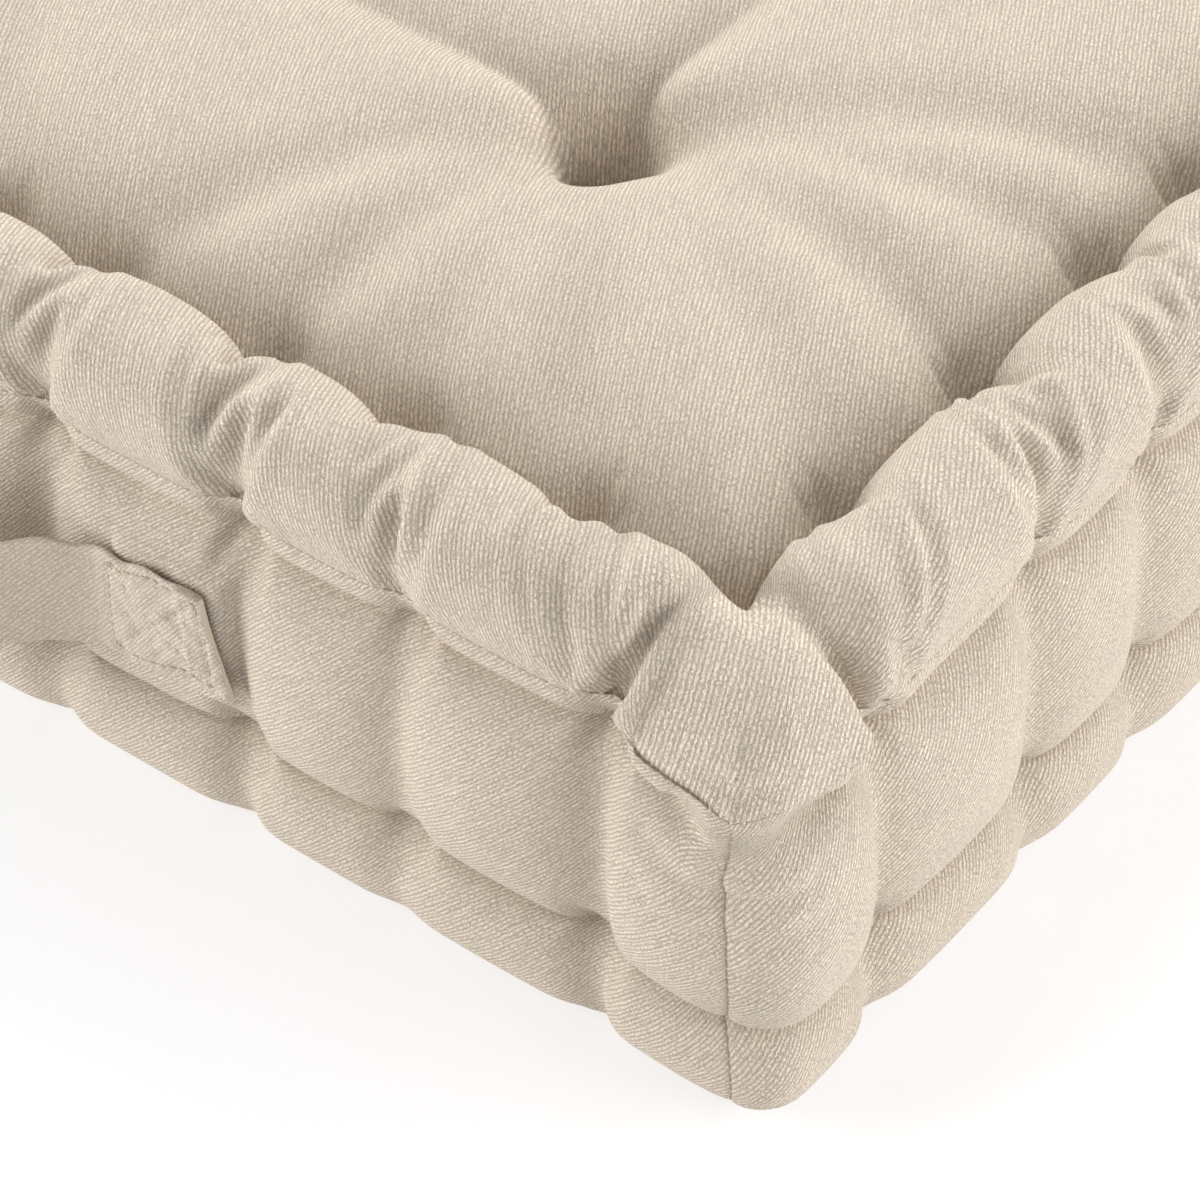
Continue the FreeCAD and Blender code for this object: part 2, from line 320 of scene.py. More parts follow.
def roll_section(over, corner):
    """Half width, height and angle round the upper roll's section, which is flatter at the corners."""
    theta = ROLL_START + (ROLL_END - ROLL_START) * over
    half = ROLL_MIDDLE + ROLL_WIDE * np.cos(theta)
    height = ROLL_MIDDLE_Z + ROLL_TALL * np.sin(theta)
    crest = (ROLL_START - math.pi / 2) / (ROLL_START - ROLL_END)
    up = np.clip(over / crest, 0, 1)
    down = np.clip((over - crest) / (1 - crest), 0, 1)
    bent = 1 - LOBE_FLAT
    across = LOBE_FLAT * down + bent * np.sin(down * math.pi / 2)
    drop = LOBE_FLAT * (1 - down) + bent * np.cos(down * math.pi / 2)
    rise = np.sin(up * math.pi / 2)
    inner_half = CREASE + (LOBE_MIDDLE - CREASE) * up
    outer_half = LOBE_MIDDLE + (SEAM_OUT - LOBE_MIDDLE) * across
    inner_height = CREASE_Z + (LOBE_CREST - CREASE_Z) * rise
    outer_height = CORNER_SEAM_Z + (LOBE_CREST - CORNER_SEAM_Z) * drop
    flat_half = np.where(over < crest, inner_half, outer_half)
    flat_height = np.where(over < crest, inner_height, outer_height)
    return half + (flat_half - half) * corner, height + (flat_height - height) * corner, theta


def top_start(cells):
    """Starting shape of the top panel over a square grid of its cloth."""
    s = np.linspace(-CLOTH_HALF, CLOTH_HALF, cells + 1)
    su, sv = np.meshgrid(s, s, indexing="xy")
    ring = np.maximum(np.abs(su), np.abs(sv))
    x = su * CREASE / CLOTH_CREASE
    y = sv * CREASE / CLOTH_CREASE
    over = np.clip((ring - CLOTH_CREASE) / CLOTH_ROLL, 0, 1)
    across_x = np.abs(su) > np.abs(sv)
    cloth_along = np.where(across_x, sv, su)
    corner = smooth((np.abs(cloth_along) - CLOTH_CREASE + 0.020) / 0.028)
    side_along = np.where(across_x, sv * np.sign(su), -su * np.sign(sv))
    groove = roll_grooves(across_x, su, sv, side_along * CREASE / CLOTH_CREASE, over)
    half, height, theta = roll_section(over, corner)
    half = half - groove * np.cos(theta) * (np.cos(theta) > 0)
    height = height - groove * np.sin(theta)
    round_side = np.where(across_x, np.sign(su), -np.sign(sv)) * np.sign(cloth_along)
    turn, sharp = CORNER_TURN * over ** 1.5, CORNER_SHARP * over ** 2
    along, out = ring_plan(np.abs(cloth_along) * round_side, ring, half, smooth(over / 0.5), turn, sharp)
    along = np.abs(along) * np.sign(cloth_along)
    out = out * np.where(across_x, np.sign(su), np.sign(sv))
    rolled = ring > CLOTH_CREASE
    points = np.stack([
        np.where(rolled, np.where(across_x, out, along), x),
        np.where(rolled, np.where(across_x, along, out), y),
        np.where(rolled, height, crown_height(x, y)),
    ], -1)
    info = {"su": su, "sv": sv, "ring": ring, "over": over, "across_x": across_x, "side_along": side_along}
    return points, info


def side_masks(across_x, su, sv):
    return {
        "front": ~across_x & (sv < 0), "back": ~across_x & (sv >= 0),
        "right": across_x & (su >= 0), "left": across_x & (su < 0),
    }


def roll_grooves(across_x, su, sv, place, over):
    """Depth of the slanting grooves that join each pinch stitch to the crease stitch next to it."""
    groove = np.zeros_like(place)
    for side, mask in side_masks(across_x, su, sv).items():
        for (crease, strength), (pinch, pinch_strength) in zip(CREASES[side], PINCHES[side]):
            middle = crease + (pinch - crease) * over
            depth = 0.0042 * (strength * (1 - over) + pinch_strength * over)
            groove = groove + mask * depth * bell(place - middle, 0.0095)
    starts = place < 0
    edge = np.where(starts, CREASE - 0.001 + 0.0045 * over, CREASE - 0.0035 - 0.008 * over)
    deep = np.where(starts, 0.0085, 0.0048)
    return groove + deep * bell(np.abs(place) - edge, 0.0048) * smooth(over * 2)


def boxing_rows(fine):
    """Half width and height of every row of the boxing, with fine times the listed cells."""
    half, height = [BOXING[0][1]], [BOXING[0][2]]
    for (_, h0, z0), (count, h1, z1) in zip(BOXING, BOXING[1:]):
        for k in range(1, count * fine + 1):
            t = k / (count * fine)
            half.append(h0 + (h1 - h0) * t)
            height.append(z0 + (z1 - z0) * t)
    return np.array(half), np.array(height)


def rounded(values, passes, keep):
    """Smooths a row profile but keeps the rows listed in keep."""
    held = values[keep].copy()
    for _ in range(passes):
        values[1:-1] = values[1:-1] * 0.5 + (values[:-2] + values[2:]) * 0.25
        values[keep] = held
    return values


def boxing_start(cells):
    """Starting shape of the four boxing strips, as one closed band of columns."""
    fine = cells // SIDE_CELLS
    half, height = boxing_rows(fine)
    keep = [0, UPPER_PINCH_ROW * fine, LOWER_PINCH_ROW * fine, len(half) - 1]
    half = rounded(half, 2 * fine * fine, keep)
    height = rounded(height, 2 * fine * fine, keep)
    s = np.linspace(-CLOTH_HALF, CLOTH_HALF, cells + 1)
    rows = len(half)
    points = np.zeros((rows, 4 * cells + 1, 3))
    places = np.zeros((rows, 4 * cells + 1))
    bulge = np.clip((half - 0.285) / 0.017, 0, 1)
    for k, side in enumerate(SIDES):
        grid_s = np.broadcast_to(s, (rows, cells + 1))
        grid_half = np.broadcast_to(half[:, None], (rows, cells + 1))
        ring = np.full((rows, cells + 1), CLOTH_HALF)
        turn = CORNER_TURN * (0.6 + 0.4 * np.clip(height / SEAM_Z, 0, 1))[:, None]
        pull = (0.10 + 0.90 * smooth((height - 0.015) / 0.055))[:, None]
        sharp = CORNER_SHARP * smooth((height - 0.094) / 0.016)[:, None]
        at_corner = smooth((np.abs(grid_s) - CLOTH_HALF + 0.034) / 0.020)
        full = np.maximum(grid_half, 0.2985 + 0.0015 * smooth((0.112 - height) / 0.02)[:, None])
        high = smooth((height - 0.045) / 0.020)[:, None]
        grid_half = grid_half + (full - grid_half) * at_corner * high
        along, out = ring_plan(grid_s, ring, grid_half, pull, turn, sharp)
        crease = near_stitches(along, PINCHES[side], 0.008)
        out = out - 0.0070 * crease * bulge[:, None]
        o, a = OUTWARD[side], ALONG[side]
        stop = slice(k * cells, (k + 1) * cells + 1)
        points[:, stop, 0] = o[0] * out + a[0] * along
        points[:, stop, 1] = o[1] * out + a[1] * along
        points[:, stop, 2] = height[:, None]
        places[:, stop] = along
    dip = corner_nearness(points)
    top_part = np.clip((points[..., 2] - UPPER_PINCH_Z) / 0.01, -1, 1)
    points[..., 2] -= (SEAM_Z - CORNER_SEAM_Z) * dip * smooth(0.5 + top_part)
    return points, places


def corner_nearness(points):
    """1 at the four upright corners, falling to 0 about 35 mm from them."""
    gap = np.hypot(0.298 - np.abs(points[..., 0]), 0.298 - np.abs(points[..., 1]))
    return smooth(1 - gap / 0.035)


# --- cloth relaxation

def pair_slices(count, gap):
    """Slices that pair each index with the one gap further on, in groups with no index used twice."""
    step = 2 * gap
    pairs = []
    for start in range(step):
        size = len(range(start, count - gap, step))
        if size:
            a = slice(start, start + step * (size - 1) + 1, step)
            b = slice(start + gap, start + gap + step * (size - 1) + 1, step)
            pairs.append((a, b))
    return pairs


def springs(points, ease_across, ease_down, shear, bend):
    """Spring groups of a grid: (slice a, slice b, rest lengths, stiffness)."""
    rows, cols = points.shape[:2]
    groups = []

    def add(a, b, stiffness, ease=None):
        rest = np.linalg.norm(points[b] - points[a], axis=-1)
        if ease is not None:
            rest = rest * (ease[a] + ease[b]) / 2
        groups.append((a, b, rest.astype(np.float32), stiffness))

    for a, b in pair_slices(cols, 1):
        add((EVERY, a), (EVERY, b), 1.0, ease_across)
    for a, b in pair_slices(rows, 1):
        add((a, EVERY), (b, EVERY), 1.0, ease_down)
    mean = (ease_across + ease_down) / 2
    for a, b in pair_slices(rows, 1):
        add((a, slice(0, cols - 1)), (b, slice(1, cols)), shear, mean)
        add((a, slice(1, cols)), (b, slice(0, cols - 1)), shear, mean)
    for a, b in pair_slices(cols, 2):
        add((EVERY, a), (EVERY, b), bend, ease_across)
    for a, b in pair_slices(rows, 2):
        add((a, EVERY), (b, EVERY), bend, ease_down)
    return groups


def project(points, groups):
    """One pass that moves every spring's ends towards its rest length."""
    for a, b, rest, stiffness in groups:
        gap = points[b] - points[a]
        length = np.sqrt(np.einsum("ijk,ijk->ij", gap, gap))
        share = (0.5 * stiffness) * (1 - rest / np.maximum(length, 1e-7))
        gap *= share[..., None]
        points[a] += gap
        points[b] -= gap


def normals(points, flip):
    down = np.empty_like(points)
    down[1:-1] = points[2:] - points[:-2]
    down[0] = points[1] - points[0]
    down[-1] = points[-1] - points[-2]
    across = np.empty_like(points)
    across[:, 1:-1] = points[:, 2:] - points[:, :-2]
    across[:, 0] = points[:, 1] - points[:, 0]
    across[:, -1] = points[:, -1] - points[:, -2]
    n = np.cross(down, across) if flip else np.cross(across, down)
    return n / np.maximum(np.linalg.norm(n, axis=-1, keepdims=True), 1e-12)


def perimeter(cells):
    """Row and column of the top grid's edge points, in the order of the boxing's columns."""
    up = np.arange(cells + 1)
    zero, full = np.zeros(cells + 1, int), np.full(cells + 1, cells)
    rows = np.concatenate([zero[:-1], up[:-1], full[:-1], up[::-1]])
    cols = np.concatenate([up[:-1], full[:-1], up[::-1][:-1], zero])
    return rows, cols


def relax(top, boxing, steps, quick_steps, push, damping):
    """Lets the pressed cloth settle between its stitches."""
    steps = steps
    rows, cols = perimeter(top["cells"])
    cloths = (top, boxing)
    for c in cloths:
        c["before"] = c["points"].copy()
    for step in range(steps):
        strength = push * min(1.0, (step + 1) / (0.2 * steps)) * min(1.0, 2.0 * (1 - step / steps) + 0.25)
        for c in cloths:
            now = c["points"]
            if step % 4 == 0:
                c["normal"] = normals(now, c["flip"])
            moved = now + damping * (now - c["before"]) + strength * c["force"] * c["normal"]
            c["before"] = now.copy()
            project(moved, c["springs"])
            moved += c["hold"] * (c["target"] - moved)
            c["limit"](moved)
            c["points"] = moved
        band = boxing["points"]
        closing = (band[:, 0] + band[:, -1]) / 2
        band[:, 0] = closing
        band[:, -1] = closing
        seam = (top["points"][rows, cols] + band[0]) / 2
        top["points"][rows, cols] = seam
        band[0] = seam


def top_limit(info):
    """Keeps the roll outside the crease, the crown inside it, and the roll above the pinch."""
    roll = info["ring"] > CLOTH_CREASE + 0.003
    crown = info["ring"] < CLOTH_CREASE - 0.003
    by_x = info["across_x"]
    sign = np.where(by_x, np.sign(info["su"]), np.sign(info["sv"])).astype(np.float32)
    roll_x, roll_y = roll & by_x, roll & ~by_x

    def limit(points):
        x, y, z = points[..., 0], points[..., 1], points[..., 2]
        x[roll_x] = np.maximum(x[roll_x] * sign[roll_x], CREASE) * sign[roll_x]
        y[roll_y] = np.maximum(y[roll_y] * sign[roll_y], CREASE) * sign[roll_y]
        x[crown] = np.clip(x[crown], -CREASE, CREASE)
        y[crown] = np.clip(y[crown], -CREASE, CREASE)
        z[roll] = np.maximum(z[roll], UPPER_PINCH_Z + 0.001)
    return limit


def boxing_limit(upper, lower):
    """Keeps the puffs between the pinches and the lower roll between the lower pinch and the floor."""
    def limit(points):
        z = points[..., 2]
        z[upper:lower + 1] = np.clip(z[upper:lower + 1], LOWER_PINCH_Z, UPPER_PINCH_Z)
        z[lower:] = np.clip(z[lower:], 0.0006, LOWER_PINCH_Z)
    return limit


def cloth(cells, points, flip, ease_across, ease_down, hold, target, force, limit, info=None):
    """A grid of cloth with its springs, its pressure and what holds it."""
    return {
        "cells": cells, "points": points.astype(np.float32), "flip": flip, "info": info,
        "springs": springs(points, ease_across, ease_down, 0.30, 0.16),
        "hold": hold[..., None].astype(np.float32), "target": target.astype(np.float32),
        "force": force[..., None].astype(np.float32), "limit": limit,
    }


def make_top(cells):
    points, info = top_start(cells)
    fine = cells // SIDE_CELLS
    su, sv, ring, over = info["su"], info["sv"], info["ring"], info["over"]
    place = info["side_along"] * CREASE / CLOTH_CREASE
    masks = side_masks(info["across_x"], su, sv)
    gathers = np.zeros_like(su)
    hold = np.zeros_like(su)
    target = points.copy()
    cell = 2 * CLOTH_HALF / cells
    on_crease = np.abs(ring - CLOTH_CREASE) < 0.6 * cell
    for side, mask in masks.items():
        at_crease = near_stitches(place, CREASES[side], 0.012)
        at_pinch = near_stitches(place, PINCHES[side], 0.013)
        near_crease = bell(ring - CLOTH_CREASE, 0.020)
        gathers += mask * (0.17 * at_crease * near_crease + 0.30 * at_pinch * smooth((over - 0.35) / 0.65))
        for crease, strength in CREASES[side]:
            near = mask & on_crease & (np.abs(place - crease) < 0.75 * cell)
            hold[near] = 1.0
            target[near, 2] = CREASE_Z - 0.004 - 0.006 * strength
    line = on_crease & (hold == 0)
    hold[line] = 0.10
    lobe = smooth((np.minimum(np.abs(su), np.abs(sv)) - CLOTH_CREASE + 0.006) / 0.010)
    gathers = gathers * (1 - lobe)
    along_ease = 1.004 + 0.030 * np.sin(math.pi * over) ** 2 * (1 - lobe) + gathers
    across_ease = 1.004 + 0.025 * smooth(over * 4) * (1 - lobe) + 0.05 * gathers
    noise = 0.012 * soft_noise(su.shape, 5 * fine, 3) * (1 - lobe)
    by_x = info["across_x"]
    ease_across = np.where(by_x, across_ease, along_ease) + noise
    ease_down = np.where(by_x, along_ease, across_ease) + noise
    for tx, ty in TUFTS:
        r = np.hypot(su * CREASE / CLOTH_CREASE - tx, sv * CREASE / CLOTH_CREASE - ty)
        seat = r < 0.0025
        hold[seat] = 1.0
        target[seat, 2] = TUFT_Z
        points[seat, 2] = TUFT_Z
    crown = (ring < CLOTH_CREASE - 0.004) & (hold < 1)
    hold[crown] = np.maximum(hold, 0.30 * smooth((CLOTH_CREASE - 0.006 - ring) / 0.045))[crown]
    in_corner = (np.minimum(np.abs(su), np.abs(sv)) > CLOTH_CREASE) & (over > 0.3)
    hold[in_corner] = np.maximum(hold[in_corner], 0.12)
    seam = ring > CLOTH_HALF - 0.25 * cell
    hold[seam] = 0.25
    force = np.ones_like(su) * (0.75 + 0.25 * smooth((0.235 - ring) / 0.1))
    force[over > 0.02] = 0.9
    limit = top_limit(info)
    return cloth(cells, points, False, ease_across, ease_down, hold, target, force, limit, info)


def make_boxing(cells):
    points, places = boxing_start(cells)
    fine = cells // SIDE_CELLS
    rows, cols = places.shape
    upper, lower = UPPER_PINCH_ROW * fine, LOWER_PINCH_ROW * fine
    row = np.arange(rows)[:, None] / fine
    gathers = np.zeros_like(places)
    hold = np.zeros_like(places)
    target = points.copy()
    for k, side in enumerate(SIDES):
        span = slice(k * cells, (k + 1) * cells + 1)
        place = places[:, span]
        at = near_stitches(place, PINCHES[side], 0.012)
        rows_near = bell(row - UPPER_PINCH_ROW, 3.5) + bell(row - LOWER_PINCH_ROW, 3.5)
        gathers[:, span] = 0.26 * at * rows_near
        line = near_stitches(place, PINCHES[side], 0.0035)
        between = (row > UPPER_PINCH_ROW) & (row < LOWER_PINCH_ROW)
        hold[:, span] = np.maximum(hold[:, span], 0.05 * np.clip(line, 0, 1) * between)
        out = np.array(OUTWARD[side] + (0,), float)
        for pinch, strength in PINCHES[side]:
            near = np.abs(place - pinch) < 0.006
            for level in (upper, lower):
                tied = np.zeros_like(near)
                tied[level] = near[level]
                part = target[:, span]
                part[tied] -= out * 0.004 * strength
                held = hold[:, span]
                held[tied] = 0.8
    hold[upper] = np.maximum(hold[upper], 0.10)
    hold[lower] = np.maximum(hold[lower], 0.06)
    hold[0] = 0.25
    hold[-1] = 1.0
    patch = handle_patch(points)
    hold = np.maximum(hold, 0.5 * patch)
    target[..., 1] = target[..., 1] * (1 - patch) + (HANDLE_HIGH.y + 0.0008) * patch
    corner = corner_nearness(points)
    noise = 0.008 * soft_noise(places.shape, 6 * fine, 5)
    ease_across = 1.008 + gathers + noise
    ease_down = 1.025 + 0.02 * corner + noise
    seam_column = np.zeros_like(places)
    for k in range(5):
        seam_column[:, min(k * cells, cols - 1)] = 1
    inside = (row > UPPER_PINCH_ROW) & (row < rows / fine - 2)
    hold = np.maximum(hold, 0.06 * seam_column * inside)
    force = np.ones_like(places)
    limit = boxing_limit(upper, lower)
    return cloth(cells, points, True, ease_across, ease_down, hold, target, force, limit)


def handle_patch(points):
    """1 where a sewn handle end lies on the front boxing, 0 elsewhere."""
    x, y, z = np.abs(points[..., 0]), points[..., 1], points[..., 2]
    low, high = HANDLE_HIGH.x - 0.040, HANDLE_HIGH.x
    inside = smooth((x - low + 0.004) / 0.006) * smooth((high + 0.004 - x) / 0.006)
    level = smooth((z - HANDLE_LOW.z + 0.003) / 0.005) * smooth((HANDLE_HIGH.z + 0.007 - z) / 0.005)
    return inside * level * (y < -0.28)


def refine(points):
    """Twice as fine a grid, with four-point midpoints."""
    def mid(p):
        out = (p[:-1] + p[1:]) / 2
        out[1:-1] = (9 * (p[1:-2] + p[2:-1]) - p[:-3] - p[3:]) / 16
        return out

    def double(p):
        out = np.empty((2 * len(p) - 1,) + p.shape[1:], p.dtype)
        out[::2] = p
        out[1::2] = mid(p)
        return out
    rows = double(points)
    return np.ascontiguousarray(np.swapaxes(double(np.ascontiguousarray(np.swapaxes(rows, 0, 1))), 0, 1))


def settle():
    """Shapes of the top panel and the boxing after the cloth has relaxed, coarse first and then fine."""
    top, boxing = make_top(SIDE_CELLS), make_boxing(SIDE_CELLS)
    relax(top, boxing, *COARSE_RELAX)
    fine_top, fine_boxing = make_top(2 * SIDE_CELLS), make_boxing(2 * SIDE_CELLS)
    fine_top["points"] = refine(top["points"])
    fine_boxing["points"] = refine(boxing["points"])
    relax(fine_top, fine_boxing, *FINE_RELAX)
    return fine_top, fine_boxing


# --- meshes

def grid_mesh(name, points, uv, flip=False):
    """Mesh of quads over a grid of points, with a UV map in metres of cloth."""
    rows, cols = points.shape[:2]
    index = np.arange(rows * cols).reshape(rows, cols)
    a, b, c, d = index[:-1, :-1], index[:-1, 1:], index[1:, 1:], index[1:, :-1]
    order = (a, d, c, b) if flip else (a, b, c, d)
    quads = np.stack(order, -1).reshape(-1, 4)
    mesh = bpy.data.meshes.new(name)
    mesh.vertices.add(rows * cols)
    mesh.vertices.foreach_set("co", points.reshape(-1).astype(np.float32))
    mesh.loops.add(quads.size)
    mesh.loops.foreach_set("vertex_index", quads.reshape(-1).astype(np.int32))
    mesh.polygons.add(len(quads))
    mesh.polygons.foreach_set("loop_start", np.arange(0, quads.size, 4, dtype=np.int32))
    mesh.polygons.foreach_set("use_smooth", np.ones(len(quads), bool))
    mesh.update(calc_edges=True)
    layer = mesh.uv_layers.new(name="Cloth")
    if uv.ndim == 3:
        uv = uv.reshape(-1, 2)[quads.reshape(-1)]
    layer.data.foreach_set("uv", uv.reshape(-1).astype(np.float32))
    mesh.validate()
    return linked(name, mesh)


def lobe_uv(points, sx, sy):
    """Cloth coordinates over one corner lobe: its own sloping plane, laid flat."""
    level = np.array([sy, -sx, 0.0]) * (-1 / math.sqrt(2))
    down = np.array([sx * 0.5, sy * 0.5, -math.sqrt(0.5)])
    a, b = points @ level, points @ down
    turn = math.radians(LOBE_GRAIN)
    return np.stack([a * math.cos(turn) - b * math.sin(turn), a * math.sin(turn) + b * math.cos(turn)], -1)


def cloth_uv(info, points):
    """Cloth coordinates of every face corner of the top panel, in the order of its quads' corners.

    The corner lobes are laid flat on their own; the cloth's step at their edges lies in the deep grooves."""
    base = np.stack([info["su"], info["sv"]], -1)
    corners = [(0, 0), (0, 1), (1, 1), (1, 0)]
    rows, cols = base.shape[:2]

    def faces(grid):
        return np.stack([grid[r:rows - 1 + r, c:cols - 1 + c] for r, c in corners], 2)
    uv = faces(base)
    middle = uv.mean(axis=2)
    for sx in (-1, 1):
        for sy in (-1, 1):
            inside = (middle[..., 0] * sx > CLOTH_CREASE) & (middle[..., 1] * sy > CLOTH_CREASE)
            uv[inside] = faces(lobe_uv(points, sx, sy))[inside]
    return uv


def band_uv(points):
    """Cloth coordinates of the boxing: along the band, and down it, both by arc length."""
    row = points.shape[0] // 2
    step = np.linalg.norm(np.diff(points[row], axis=0), axis=-1)
    along = np.concatenate([[0], np.cumsum(step)])
    down = np.concatenate([[0], np.cumsum(np.linalg.norm(np.diff(points, axis=0), axis=-1).mean(axis=1))])
    u, v = np.meshgrid(along, -down, indexing="xy")
    return np.stack([u, v], -1)


def pleats(top, top_points):
    """Fine pleats over the roll, which spread from each pinch stitch and meet again at the crease stitch."""
    info = top["info"]
    over, place = info["over"], info["side_along"] * CREASE / CLOTH_CREASE
    spread = np.sin(math.pi * np.clip(over, 0, 1)) ** 0.8
    depth = np.zeros_like(over)
    for side, mask in side_masks(info["across_x"], info["su"], info["sv"]).items():
        for (crease, strength), (pinch, pinch_strength) in zip(CREASES[side], PINCHES[side]):
            middle = crease + (pinch - crease) * over
            for offset in (-0.0165, -0.0085, 0.0080, 0.0170):
                lean = offset * RNG.uniform(0.75, 1.25)
                deep = RNG.uniform(0.35, 1.0) * (strength + pinch_strength) / 2
                start = RNG.uniform(0.0, 0.45)
                shown = smooth((over - start) / 0.2) * smooth((1.08 - over) / 0.25)
                line = place - middle - lean * spread
                pleat = bell(line, 0.0030) - 0.5 * bell(np.abs(line) - 0.0052, 0.0032)
                depth += mask * deep * shown * pleat
    lobe = np.minimum(np.abs(info["su"]), np.abs(info["sv"])) > CLOTH_CREASE - 0.004
    depth = depth * ~lobe * (over > 0) * (over < 0.999)
    top_points -= normals(top_points, False) * (PLEAT_DEPTH * depth)[..., None]


def corner_folds(top, top_points, band):
    """Drag folds that the tight corner seams pull across the boxing, and a dent above each seam corner."""
    cells = top["cells"]
    out = normals(band, True)
    for k in range(len(SIDES)):
        column = k * cells
        reach = 70
        cols = np.arange(column - reach, column + reach + 1) % (4 * cells)
        part, part_out = band[:, cols], out[:, cols]
        flat = np.diff(part[part.shape[0] // 3], axis=0)
        run = np.concatenate([[0], np.cumsum(np.linalg.norm(flat, axis=-1))])
        run = (run - run[reach])[None, :]
        side = 1 if k == 1 else RNG.uniform(0.6, 1.3)
        fade = np.exp(-(run / 0.026) ** 2)
        z = part[..., 2]
        for level, climb, depth in CORNER_FOLDS:
            line = level + climb * run ** 2 + 0.0012 * np.sin(run * 90 + level * 400)
            fold = bell(z - line, 0.0030) - 0.35 * bell(z - line - 0.0058, 0.0034) * (z < 0.106)
            part = part - part_out * (side * depth * fold * fade)[..., None]
        band[1:-1, cols] = part[1:-1]
    band[:, -1] = band[:, 0]
    info = top["info"]
    down = normals(top_points, False)
    for k in range(len(SIDES)):
        seam_corner = band[0, ((k + 1) * cells) % (4 * cells)]
        gap = np.hypot(top_points[..., 0] - seam_corner[0], top_points[..., 1] - seam_corner[1])
        level = bell(info["over"] - 0.90, 0.035) - 0.4 * bell(info["over"] - 0.80, 0.05)
        dent = 0.0024 * level * bell(gap, 0.013) * (info["over"] < 0.999)
        top_points -= down * dent[..., None]


def soften_lobes(top, top_points):
    """Smooths the corner lobes near the crease's corners, where many cells of the cloth crowd together."""
    info = top["info"]
    inner = np.minimum(np.abs(info["su"]), np.abs(info["sv"]))
    weight = smooth((inner - CLOTH_CREASE + 0.006) / 0.006) * smooth((0.75 - info["over"]) / 0.3)
    weight = (0.5 * weight)[1:-1, 1:-1, None]
    for _ in range(40):
        p = top_points
        mean = (p[:-2, 1:-1] + p[2:, 1:-1] + p[1:-1, :-2] + p[1:-1, 2:]) / 4
        p[1:-1, 1:-1] += weight * (mean - p[1:-1, 1:-1])


def soften_corners(band, cells):
    """Smooths the boxing just under the seam at the four corners, where it would lie in a lip."""
    reach = 26
    rows = np.arange(1, 15)
    fade_down = smooth((15.0 - rows) / 7)[:, None, None]
    for k in range(len(SIDES)):
        cols = np.arange(k * cells - reach, k * cells + reach + 1) % (4 * cells)
        fade = smooth((reach - np.abs(np.arange(-reach, reach + 1))) / 14)[None, :, None]
        for _ in range(30):
            middle = band[1:15, cols]
            mean = (band[0:14, cols] + band[2:16, cols]) / 2
            band[1:15, cols] = middle + 0.5 * (mean - middle) * fade * fade_down
    band[:, -1] = band[:, 0]


def sink_seam(top_points, boxing_points, cells):
    """Presses the top seam into the cloth, so that it lies in a fine groove."""
    rows, cols = perimeter(cells)
    inward = -normals(boxing_points, True)[0] * SEAM_SINK
    boxing_points[0] += inward
    boxing_points[1] += inward * 0.25
    top_points[rows, cols] = boxing_points[0]
    boxing_points[:, -1] = boxing_points[:, 0]
    for k in range(len(SIDES)):
        push_in = -normals(boxing_points, True)[:, k * cells] * SEAM_SINK
        boxing_points[2:-1, k * cells] += push_in[2:-1] * 0.4
    boxing_points[:, -1] = boxing_points[:, 0]
    top_points[rows, cols] = boxing_points[0]


def make_bottom(edge):
    """Bottom panel: a flat sheet inside the boxing's lower edge, drawn up at the tufts."""
    cells = SIDE_CELLS
    step = (edge.shape[0] - 1) // (4 * cells)
    ring = edge[::step]
    front, right = ring[:cells + 1], ring[cells:2 * cells + 1]
    back, left = ring[2 * cells:3 * cells + 1][::-1], ring[3 * cells:][::-1]
    t = np.linspace(0, 1, cells + 1)
    u, v = t[None, :, None], t[:, None, None]
    points = (1 - v) * front[None] + v * back[None] + (1 - u) * left[:, None] + u * right[:, None]
    points = points - (1 - u) * (1 - v) * front[0] - u * (1 - v) * front[-1]
    points = points - (1 - u) * v * back[0] - u * v * back[-1]
    inside = smooth(np.minimum(np.minimum(u, 1 - u), np.minimum(v, 1 - v)) / 0.04)[..., 0]
    x, y = points[..., 0], points[..., 1]
    lift = np.zeros_like(x)
    for tx, ty in TUFTS:
        lift += 0.024 * np.exp(-(np.hypot(x - tx, y - ty) / 0.020) ** 1.2)
    for i, a in enumerate(TUFTS):
        for b in TUFTS[i + 1:]:
            lift += 0.003 * bell(segment_distance(x, y, a, b), 0.010)
    points[..., 2] = points[..., 2] * (1 - inside) + 0.0006 * inside + lift * inside
    return points


def least_near(values):
    """The least value among each grid point and its eight neighbours."""
    padded = np.pad(values, 1, mode="edge")
    rows, cols = values.shape
    shifts = [padded[r:r + rows, c:c + cols] for r in range(3) for c in range(3)]
    return np.min(shifts, axis=0)


